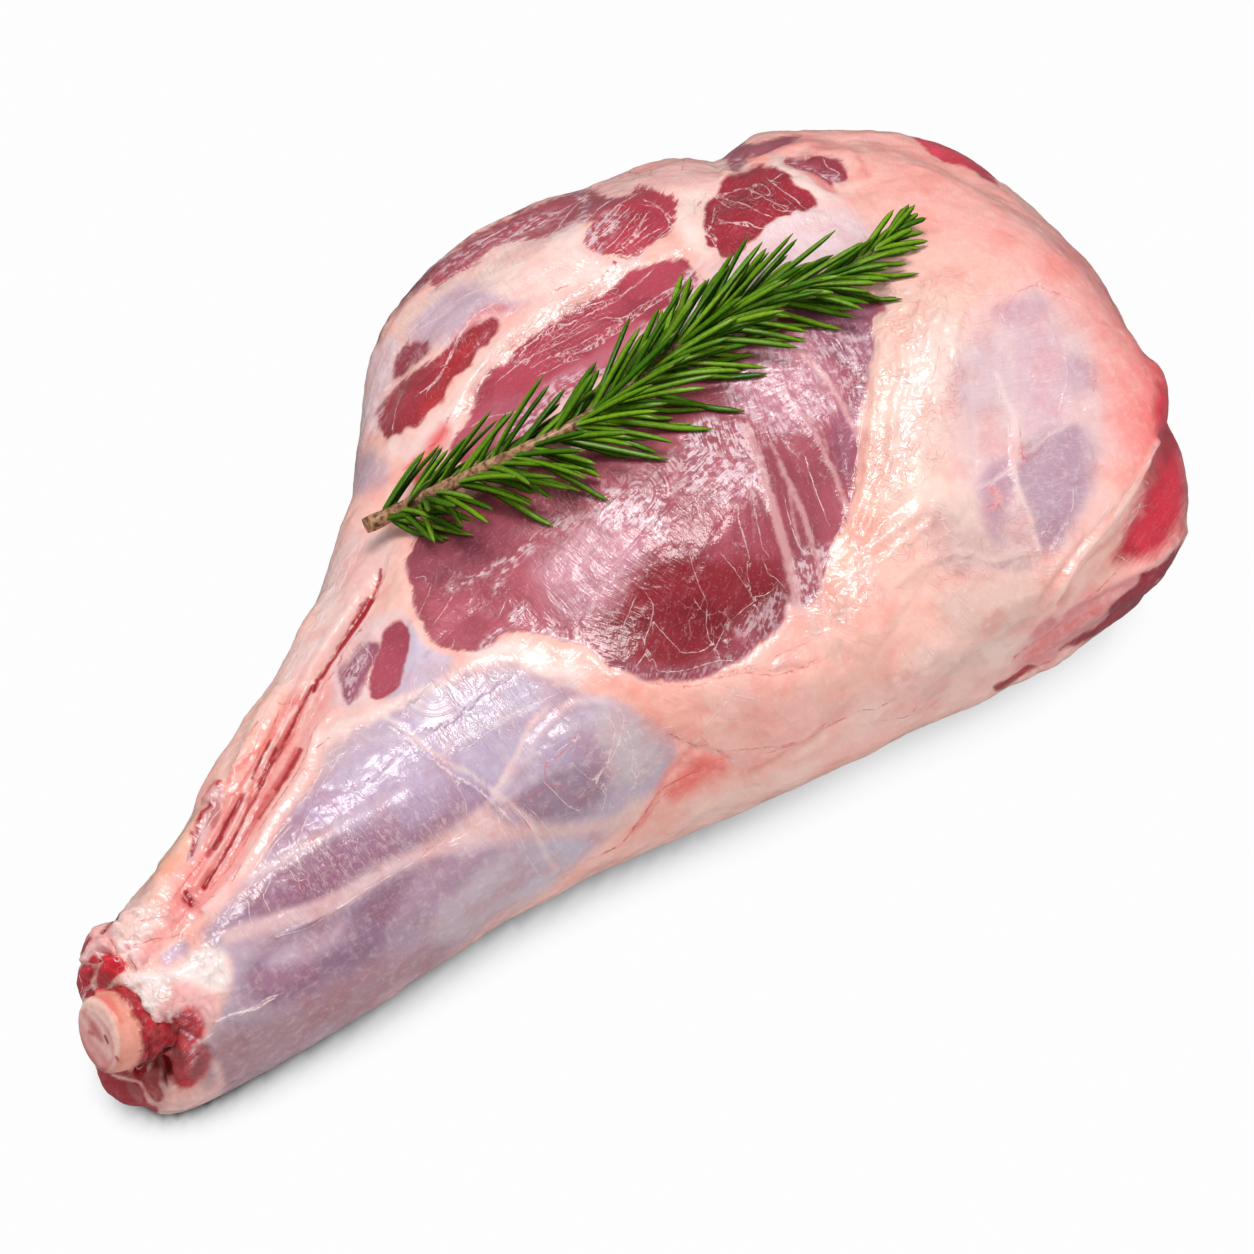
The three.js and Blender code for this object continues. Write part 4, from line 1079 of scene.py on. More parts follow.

# Thin white threads, some of them painted glints along ridges: half width in pixels, and path.
THREADS_AND_GLINTS = [
    (0.68, [(647, 595), (653, 605), (651, 624), (646, 635), (645, 643), (654, 659), (657, 667)]),
    (0.6, [(653, 621), (665, 635), (678, 648), (683, 653)]),
    (0.68, [(707, 611), (707, 627), (710, 640), (718, 653), (722, 665)]),
    (0.6, [(723, 632), (718, 643), (713, 651)]),
    (0.68, [(622, 632), (626, 619), (631, 608), (634, 600)]),
    (0.6, [(617, 651), (622, 637)]),
    (0.52, [(699, 491), (701, 504), (705, 525)]),
    (0.6, [(739, 504), (739, 520), (745, 541), (750, 555)]),
    (0.6, [(755, 507), (759, 528), (763, 547), (769, 555)]),
    (0.68, [(723, 555), (734, 568), (745, 584), (753, 597), (755, 605)]),
    (0.6, [(747, 563), (750, 584), (753, 597)]),
    (0.6, [(763, 557), (769, 573), (777, 579), (785, 587)]),
    (0.6, [(755, 597), (766, 595), (774, 589)]),
    (0.6, [(753, 603), (742, 611), (734, 619)]),
    (0.6, [(755, 605), (762, 616), (765, 632)]),
    (0.6, [(635, 667), (646, 653), (643, 637)]),
    (0.6, [(646, 653), (657, 669), (673, 672), (697, 667), (718, 661), (737, 661)]),
    (0.6, [(683, 653), (702, 651), (713, 643)]),
    (0.52, [(523, 600), (522, 613), (513, 624)]),
    (0.6, [(430, 587), (427, 597), (419, 613)]),
    (0.6, [(451, 597), (443, 611), (435, 621)]),
    (0.52, [(505, 600), (499, 613)]),
    (0.6, [(454, 640), (451, 651)]),
    (0.52, [(417, 577), (425, 576), (426, 580)]),
    (0.75, [(587, 672), (601, 664), (613, 659)]),
    (0.6, [(689, 552), (697, 579), (706, 600)]),
    (0.52, [(577, 579), (593, 600), (601, 611)]),
    (0.52, [(561, 589), (574, 605), (582, 616)]),
    (0.7, [(806, 456), (812, 476), (820, 500), (828, 522)]),
    (0.7, [(786, 500), (792, 526), (800, 546), (806, 554)]),
    (0.7, [(738, 516), (746, 542), (751, 564)]),
    (0.9, [(844, 520), (836, 538), (825, 564), (820, 578)]),
    (0.9, [(870, 400), (863, 416), (860, 436), (857, 458), (853, 476)]),
    (0.7, [(820, 328), (838, 340), (848, 358), (860, 364), (866, 376)]),
    (0.8, [(750, 370), (760, 380), (776, 392)]),
    (0.8, [(719, 193), (732, 191), (741, 188), (750, 188)]),
    (0.8, [(750, 186), (757, 183), (766, 186), (770, 193), (762, 194), (753, 190), (750, 186)]),
    (0.9, [(769, 179), (778, 186), (787, 193), (796, 199), (805, 208)]),
    (0.8, [(771, 179), (781, 174)]),
    (0.8, [(764, 197), (775, 202), (787, 206)]),
    (0.8, [(716, 197), (723, 203), (729, 206)]),
    (0.9, [(705, 233), (712, 222), (714, 211)]),
    (0.9, [(719, 223), (735, 222), (748, 222), (757, 227), (764, 228)]),
    (0.8, [(710, 231), (716, 238), (716, 247)]),
    (0.8, [(773, 206), (782, 211), (793, 211)]),
    (0.8, [(787, 162), (803, 161), (806, 155)]),
    (0.8, [(823, 157), (827, 165), (839, 172), (832, 179)]),
    (0.8, [(814, 168), (827, 177)]),
    (0.9, [(673, 227), (667, 213), (655, 204), (644, 199)]),
    (0.8, [(646, 213), (637, 227), (626, 240), (614, 247)]),
    (1, [(594, 229), (610, 211), (619, 204), (637, 193)]),
    (1, [(583, 222), (601, 206), (617, 195)]),
    (0.9, [(585, 242), (601, 231), (612, 222)]),
    (0.8, [(623, 247), (633, 236), (644, 220)]),
    (0.8, [(639, 256), (655, 242), (669, 229)]),
    (0.9, [(541, 311), (574, 308), (602, 301), (625, 292), (644, 278), (651, 269)]),
    (0.9, [(513, 355), (530, 343), (551, 332), (579, 318), (607, 304)]),
    (0.8, [(518, 362), (551, 346), (574, 334), (595, 322)]),
    (1, [(560, 362), (579, 350), (602, 336), (625, 320), (653, 304), (677, 287), (691, 273)]),
    (0.8, [(574, 353), (602, 339), (621, 329), (644, 311)]),
    (0.8, [(471, 425), (490, 416), (513, 411), (525, 406)]),
    (0.7, [(532, 367), (548, 357), (565, 355)]),
    (0.8, [(532, 334), (560, 315), (583, 311)]),
    (0.7, [(499, 378), (518, 364), (537, 353)]),
    (0.9, [(427, 390), (441, 374), (448, 355), (460, 334), (476, 315)]),
    (0.8, [(392, 432), (394, 413), (401, 395)]),
    (0.8, [(530, 229), (555, 213), (583, 196), (588, 194)]),
    (0.7, [(481, 259), (509, 243), (527, 236)]),
    (0.7, [(432, 287), (453, 273), (476, 262)]),
    (0.7, [(490, 308), (513, 290), (537, 276), (560, 266)]),
    (0.7, [(380, 385), (394, 357), (415, 334), (443, 315)]),
    (0.7, [(371, 402), (378, 371), (392, 341), (418, 308)]),
    (2, [(389, 728), (411, 743), (431, 760), (453, 776), (476, 789), (495, 805), (510, 820)]),
    (1, [(404, 733), (421, 746), (436, 758)]),
    (0.9, [(495, 805), (500, 827), (508, 839)]),
    (0.9, [(513, 805), (527, 822), (540, 842), (562, 861)]),
    (0.9, [(520, 837), (527, 857), (538, 874)]),
    (0.8, [(525, 805), (542, 822), (557, 847)]),
    (0.9, [(545, 783), (557, 795), (567, 805), (577, 810)]),
    (0.9, [(624, 716), (619, 738), (611, 758), (596, 775), (591, 780)]),
    (0.8, [(614, 738), (628, 750), (636, 760)]),
    (0.8, [(626, 728), (633, 748), (631, 770)]),
    (0.9, [(596, 778), (606, 790), (601, 810)]),
    (0.7, [(448, 773), (463, 797), (466, 815)]),
    (0.8, [(488, 728), (517, 713), (542, 701), (562, 691)]),
    (0.8, [(468, 748), (488, 733), (503, 723)]),
    (0.9, [(574, 681), (591, 669), (611, 659)]),
    (0.8, [(347, 644), (357, 664), (345, 686)]),
    (0.7, [(362, 644), (372, 659), (367, 681)]),
    (0.8, [(432, 760), (459, 777), (481, 789)]),
    (0.8, [(348, 789), (353, 799), (363, 807)]),
    (0.8, [(345, 789), (363, 782)]),
    (0.7, [(328, 831), (326, 846), (336, 853)]),
    (0.9, [(291, 826), (274, 846), (262, 868), (249, 888), (249, 913), (253, 927)]),
    (0.8, [(289, 868), (296, 881), (308, 878)]),
    (0.8, [(271, 878), (264, 898), (269, 910)]),
    (0.9, [(276, 937), (308, 927), (338, 908), (368, 888), (387, 877), (407, 866), (429, 853)]),
    (1.1, [(215, 1021), (232, 1014), (252, 1009), (274, 997)]),
    (0.7, [(437, 834), (447, 846), (459, 844)]),
    (0.7, [(239, 898), (234, 910), (220, 927)]),
    (0.7, [(328, 755), (343, 747), (363, 750)]),
    (0.7, [(338, 760), (323, 784), (316, 797)]),
    (1, [(360, 542), (345, 562), (332, 590), (320, 615), (300, 645)]),
    (0.9, [(340, 570), (332, 595), (322, 615)]),
    (0.9, [(355, 548), (345, 578), (328, 608), (315, 630)]),
    (0.8, [(325, 620), (305, 640), (280, 680)]),
    (0.8, [(350, 535), (340, 550), (342, 570)]),
    (0.8, [(365, 540), (352, 565), (338, 582)]),
    (0.9, [(395, 550), (390, 575), (380, 600), (365, 630)]),
    (0.9, [(375, 602), (360, 630), (345, 655)]),
    (0.9, [(338, 655), (325, 680), (310, 705), (300, 728)]),
    (0.8, [(295, 695), (285, 720), (275, 740), (260, 765)]),
    (0.9, [(270, 765), (260, 790), (248, 815), (235, 838)]),
    (0.9, [(220, 792), (208, 815), (202, 835), (190, 855)]),
    (0.8, [(238, 798), (225, 822), (210, 848)]),
    (0.8, [(245, 828), (228, 852), (210, 878)]),
    (0.8, [(1156, 444), (1136, 479), (1112, 518)]),
    (0.8, [(1129, 528), (1136, 511), (1146, 506)]),
    (0.7, [(1008, 422), (1011, 462), (1016, 486)]),
    (0.7, [(994, 368), (998, 388), (1001, 407)]),
    (0.7, [(1062, 356), (1067, 378), (1058, 412)]),
    (0.8, [(1006, 471), (1021, 496), (1033, 526), (1038, 548)]),
    (0.7, [(1072, 508), (1058, 533), (1048, 558)]),
    (0.7, [(227, 916), (235, 902), (245, 890)]),
    (0.7, [(186, 916), (177, 928), (166, 938)]),
    (0.8, [(215, 1021), (233, 1018), (251, 1007), (265, 999), (280, 993)]),
    (0.8, [(696, 743), (706, 730), (716, 717), (724, 704), (736, 688)]),
    (0.9, [(677, 736), (693, 744)]),
    (0.9, [(707, 747), (724, 758), (738, 762)]),
    (1.1, [(772, 669), (784, 660), (797, 653)]),
    (0.8, [(572, 764), (593, 782), (604, 793), (610, 806)]),
    (0.9, [(593, 782), (606, 764), (614, 729), (602, 713)]),
    (0.9, [(614, 731), (624, 751), (632, 771), (636, 782)]),
    (0.8, [(623, 738), (634, 760), (638, 773), (632, 788)]),
    (0.7, [(638, 773), (627, 796)]),
    (0.8, [(573, 751), (577, 736)]),
    (0.8, [(558, 751), (573, 740)]),
    (1, [(1072, 490), (1071, 512), (1060, 535), (1049, 558)]),
    (0.8, [(975, 348), (980, 358)]),
    (0.8, [(995, 380), (998, 390)]),
    (0.9, [(992, 402), (999, 395)]),
    (0.9, [(1065, 355), (1066, 365)]),
    (0.8, [(1055, 400), (1066, 390)]),
    (0.8, [(1008, 320), (1012, 328)]),
    (1, [(1036, 549), (1041, 535), (1049, 531), (1054, 540), (1048, 551)]),
    (0.8, [(1000, 315), (1004, 322)]),
    (0.7, [(990, 550), (1020, 551), (1045, 552)]),
    (0.8, [(1000, 552), (1005, 540)]),
    (0.8, [(1108, 505), (1098, 522), (1085, 540)]),
    (0.8, [(1145, 472), (1150, 485)]),
    (0.9, [(1120, 538), (1135, 520), (1142, 502)]),
    (0.8, [(1118, 555), (1128, 562)]),
    (0.8, [(932, 465), (925, 478), (912, 490)]),
    (0.8, [(902, 465), (895, 480), (882, 492)]),
    (0.9, [(734, 685), (725, 704), (712, 716), (700, 732), (693, 746)]),
    (0.8, [(735, 695), (752, 698)]),
    (0.8, [(645, 710), (655, 715)]),
    (0.8, [(665, 728), (672, 726)]),
    (0.8, [(802, 612), (820, 615), (835, 620)]),
    (0.8, [(775, 668), (790, 658), (800, 660)]),
    (0.9, [(289, 720), (279, 740), (269, 759), (260, 777)]),
    (0.9, [(309, 684), (299, 702), (291, 718)]),
    (1, [(275, 764), (265, 785), (254, 806), (244, 827), (234, 847), (221, 868), (208, 885)]),
    (1, [(285, 795), (275, 811), (265, 827), (254, 847), (244, 863), (234, 881)]),
    (1.2, [(302, 767), (296, 780), (287, 798), (278, 814)]),
    (0.9, [(276, 702), (267, 718), (260, 734), (254, 749), (244, 762), (235, 771)]),
    (0.9, [(221, 806), (208, 827), (198, 847), (192, 860)]),
    (1, [(234, 785), (224, 789), (218, 798), (210, 816)]),
    (0.8, [(322, 679), (311, 697), (303, 715), (296, 731)]),
    (0.8, [(329, 684), (322, 702), (311, 718)]),
    (1, [(260, 837), (252, 847), (247, 860)]),
    (1.1, [(271, 819), (267, 832), (260, 845)]),
    (0.9, [(345, 645), (329, 658), (317, 674)]),
    (0.9, [(335, 652), (327, 658)]),
    (0.8, [(300, 645), (296, 663), (285, 679)]),
    (0.8, [(306, 650), (298, 674), (283, 689)]),
    (0.8, [(317, 643), (309, 656), (301, 671)]),
    (1.2, [(283, 863), (296, 847), (301, 832), (311, 811)]),
    (0.9, [(252, 873), (265, 852), (280, 832), (291, 821)]),
    (0.9, [(311, 770), (332, 762), (348, 751)]),
    (0.8, [(296, 801), (311, 788), (322, 770)]),
    (0.9, [(348, 785), (355, 798), (363, 806)]),
    (0.9, [(291, 863), (306, 878), (311, 889)]),
    (0.8, [(298, 806), (309, 795), (319, 775)]),
    (0.7, [(514, 361), (528, 346), (543, 332), (557, 324), (569, 323)]),
    (0.8, [(541, 334), (550, 319), (563, 306), (581, 299), (599, 292), (614, 288)]),
    (0.8, [(563, 324), (581, 317), (599, 310), (617, 299), (637, 282), (650, 273)]),
    (0.8, [(572, 329), (586, 322), (608, 317), (623, 317), (639, 306), (661, 293), (683, 282)]),
    (0.7, [(526, 364), (541, 346), (559, 335), (574, 330)]),
    (0.8, [(543, 359), (561, 353), (586, 350), (603, 342)]),
    (0.7, [(550, 355), (572, 346), (594, 335), (608, 333)]),
    (0.8, [(541, 373), (563, 362), (577, 359)]),
    (0.7, [(606, 328), (617, 322), (630, 313)]),
    (1, [(483, 370), (501, 350), (517, 333), (534, 317), (554, 304), (572, 295), (586, 286)]),
    (0.8, [(497, 304), (514, 290), (534, 275), (554, 266), (570, 259)]),
    (0.7, [(474, 317), (488, 308), (506, 297)]),
    (0.9, [(457, 342), (450, 355), (443, 368), (432, 382), (419, 393)]),
    (0.8, [(588, 195), (572, 208), (559, 224), (550, 233)]),
    (0.8, [(539, 217), (521, 230), (506, 242)]),
    (0.8, [(506, 226), (483, 239), (466, 253)]),
    (0.8, [(488, 252), (466, 266), (446, 283)]),
    (0.8, [(628, 208), (610, 226), (590, 244)]),
    (0.8, [(637, 213), (619, 235), (606, 248)]),
    (0.8, [(646, 226), (630, 242), (617, 250)]),
    (0.8, [(621, 204), (606, 222), (592, 235)]),
    (0.8, [(657, 204), (666, 215), (672, 230)]),
    (0.7, [(646, 204), (657, 206), (670, 215)]),
    (0.7, [(637, 242), (646, 235), (659, 228)]),
    (0.8, [(714, 193), (728, 199), (746, 204), (768, 215)]),
    (0.8, [(714, 208), (710, 226), (706, 235)]),
    (0.7, [(717, 197), (741, 188), (750, 190), (754, 186), (764, 184)]),
    (0.8, [(706, 230), (714, 244), (719, 255)]),
    (0.7, [(719, 219), (737, 224), (757, 226)]),
    (0.7, [(750, 190), (754, 197), (763, 195)]),
    (0.8, [(383, 377), (394, 354), (412, 332), (434, 310)]),
    (0.7, [(377, 388), (386, 361), (401, 332)]),
    (0.8, [(423, 366), (439, 350), (450, 337)]),
    (0.7, [(448, 310), (466, 297), (488, 288)]),
    (0.8, [(417, 279), (434, 263), (457, 248)]),
    (0.7, [(408, 297), (426, 283), (443, 266)]),
    (0.7, [(492, 248), (514, 234), (541, 226)]),
    (1.3, [(84, 964), (93, 969), (94, 977), (93, 984), (86, 992), (82, 998)]),
    (1.4, [(94, 971), (98, 965), (102, 962), (98, 956), (94, 952), (89, 951), (83, 962)]),
    (1, [(94, 980), (96, 986), (97, 992)]),
    (0.9, [(80, 974), (83, 984), (80, 992)]),
    (1, [(79, 957), (86, 949), (90, 939)]),
    (0.9, [(111, 991), (116, 989), (124, 990)]),
    (1, [(114, 1004), (118, 1010), (124, 1019)]),
    (1.1, [(148, 1025), (153, 1038), (158, 1053), (163, 1065)]),
    (1.2, [(168, 1036), (174, 1031), (183, 1030)]),
    (0.9, [(205, 1039), (212, 1033)]),
    (1, [(116, 957), (121, 959), (120, 963), (117, 961)]),
    (1, [(127, 1065), (132, 1062), (138, 1069), (144, 1064)]),
    (1.2, [(214, 1025), (220, 1021), (228, 1019)]),
]

# Thin red veins, in the same way.
VEINS = [
    (1.8, [(450, 420), (439, 441), (429, 448), (420, 458), (408, 468)]),
    (0.9, [(555, 292), (565, 289)]),
    (1.2, [(618, 255), (623, 258)]),
    (1.2, [(613, 262), (616, 265)]),
    (1.3, [(595, 284), (609, 272), (616, 269)]),
    (0.7, [(695, 213), (693, 203), (700, 199)]),
    (0.9, [(705, 197), (701, 204), (694, 210), (694, 214)]),
    (1.5, [(628, 174), (638, 174)]),
    (1, [(651, 171), (653, 177)]),
    (1, [(684, 159), (682, 172)]),
    (1.3, [(545, 764), (553, 760), (562, 753), (569, 744), (575, 738)]),
    (0.8, [(545, 764), (545, 778), (547, 786), (527, 797), (513, 802)]),
    (0.8, [(547, 786), (562, 787), (569, 797)]),
    (0.8, [(525, 822), (532, 832), (542, 837)]),
    (1.3, [(591, 857), (621, 843), (633, 827), (646, 812), (658, 792), (675, 780), (698, 770)]),
    (0.8, [(675, 738), (688, 741), (693, 746)]),
    (0.7, [(651, 684), (675, 686), (700, 686)]),
    (0.6, [(660, 678), (700, 675), (729, 671), (755, 665), (781, 654), (805, 644)]),
    (0.9, [(328, 831), (313, 839), (299, 849)]),
    (1.2, [(372, 620), (352, 645), (340, 665), (330, 685)]),
    (1.2, [(280, 710), (270, 735), (255, 760), (238, 790), (228, 798)]),
    (1.4, [(295, 715), (280, 750), (265, 778), (250, 805)]),
    (1, [(285, 705), (292, 705)]),
    (1.4, [(305, 760), (290, 785), (275, 808), (260, 830)]),
    (1.2, [(260, 818), (245, 845), (228, 870), (210, 890)]),
    (1, [(320, 728), (312, 745), (308, 760)]),
    (1, [(318, 750), (330, 740)]),
    (1, [(228, 880), (230, 885)]),
    (1.2, [(202, 860), (185, 882), (172, 900)]),
    (1, [(245, 862), (240, 870)]),
    (1, [(223, 894), (218, 899), (211, 899)]),
    (1, [(183, 934), (169, 938), (154, 943)]),
    (1.2, [(129, 947), (130, 959), (139, 972)]),
    (1, [(110, 940), (113, 946)]),
    (0.9, [(142, 922), (151, 919), (163, 918)]),
    (0.6, [(1006, 311), (1018, 292), (1038, 287), (1058, 297)]),
    (0.7, [(1018, 422), (1023, 457), (1033, 457), (1048, 439)]),
    (0.6, [(1058, 398), (1060, 393)]),
    (1, [(986, 508), (998, 503), (996, 511)]),
    (1.2, [(1117, 570), (1102, 585), (1087, 596)]),
    (0.8, [(1090, 612), (1097, 612)]),
    (0.8, [(915, 705), (905, 715), (885, 720)]),
    (0.7, [(940, 340), (936, 364), (932, 380)]),
    (0.6, [(874, 460), (878, 480), (874, 500)]),
    (0.7, [(684, 688), (702, 684), (724, 678), (744, 673), (773, 675), (796, 672), (816, 663)]),
    (0.7, [(702, 738), (713, 747), (729, 756)]),
    (0.7, [(824, 724), (809, 738), (782, 747), (767, 753)]),
    (0.6, [(627, 836), (644, 816), (656, 793)]),
    (0.7, [(995, 308), (1010, 296), (1025, 290), (1038, 283)]),
    (0.6, [(1041, 290), (1055, 293), (1070, 300)]),
    (0.7, [(1022, 460), (1022, 449)]),
    (0.6, [(1095, 380), (1092, 395)]),
    (0.9, [(708, 680), (722, 676), (745, 673), (770, 676), (795, 670), (815, 660)]),
    (0.9, [(670, 735), (682, 738), (692, 746), (706, 746), (718, 753), (729, 760)]),
    (0.8, [(812, 738), (825, 728), (840, 720), (858, 710), (875, 708), (892, 700)]),
    (0.8, [(732, 750), (752, 748), (780, 745), (802, 739)]),
    (1, [(1015, 660), (1030, 646), (1050, 633), (1065, 618)]),
    (1.2, [(998, 683), (1015, 676), (1030, 670), (1050, 660)]),
    (0.6, [(905, 655), (912, 665)]),
    (0.6, [(665, 792), (655, 805), (645, 820)]),
    (0.9, [(296, 705), (285, 706), (280, 705)]),
    (1, [(282, 748), (275, 762)]),
    (1, [(260, 725), (244, 751), (231, 777)]),
    (1.1, [(228, 793), (219, 816), (208, 837)]),
    (1.2, [(265, 829), (254, 847), (244, 865), (234, 884)]),
    (0.9, [(291, 821), (285, 827)]),
    (1, [(311, 749), (306, 757)]),
    (0.9, [(192, 847), (186, 865)]),
    (1.3, [(700, 275), (706, 284), (702, 288)]),
    (1, [(634, 174), (639, 176)]),
    (1, [(650, 177), (653, 178)]),
    (0.8, [(694, 214), (697, 208), (704, 199)]),
    (0.8, [(554, 290), (568, 287)]),
    (1.2, [(599, 283), (608, 274), (617, 266)]),
    (1.2, [(110, 939), (112, 942), (115, 948), (116, 952)]),
    (1.1, [(138, 949), (130, 949), (128, 955), (127, 963), (132, 970), (140, 971)]),
    (1, [(133, 947), (144, 944), (153, 940), (160, 939)]),
    (1.1, [(110, 992), (118, 991), (124, 993), (129, 996)]),
    (0.9, [(101, 952), (110, 953)]),
    (1, [(140, 921), (146, 922), (153, 920)]),
    (0.9, [(183, 933), (182, 938)]),
]

# The dark slit along the tendon, and red hollows beside it, in the same way.
SLIT = [
    (1.2, [(381, 570), (376, 585), (371, 598)]),
    (4.2, [(370, 600), (359, 616), (348, 634), (340, 646)]),
    (2.6, [(341, 645), (331, 660), (321, 676), (314, 690)]),
    (1.5, [(313, 685), (304, 701), (296, 718), (287, 736), (280, 750)]),
    (1.1, [(280, 750), (271, 765), (265, 779), (259, 793), (252, 807), (244, 821), (238, 833),
           (232, 846)]),
    (1.9, [(302, 751), (296, 762), (290, 771), (285, 780), (278, 790)]),
    (2, [(240, 800), (234, 811), (226, 824), (221, 837), (215, 848)]),
    (1.6, [(256, 801), (247, 814), (241, 827), (235, 840), (230, 850), (223, 861), (213, 874),
           (204, 889)]),
    (1.3, [(270, 744), (260, 762), (252, 780)]),
    (1.6, [(276, 750), (270, 761), (265, 772), (257, 789)]),
    (1.4, [(250, 804), (244, 819), (238, 832), (232, 843), (226, 852)]),
    (1, [(226, 853), (218, 865), (209, 877), (202, 888)]),
    (1.6, [(298, 757), (294, 766), (288, 774)]),
    (1, [(282, 785), (278, 794), (270, 806), (260, 819)]),
    (1.5, [(222, 784), (220, 788)]),
    (0.9, [(212, 806), (204, 820), (197, 837), (191, 852)]),
    (2.4, [(186, 893), (191, 901), (190, 905)]),
    (1, [(196, 836), (194, 844), (192, 857)]),
    (1.1, [(620, 256), (622, 257)]),
    (0.9, [(613, 263), (615, 264)]),
    (0.8, [(626, 258), (630, 258)]),
]

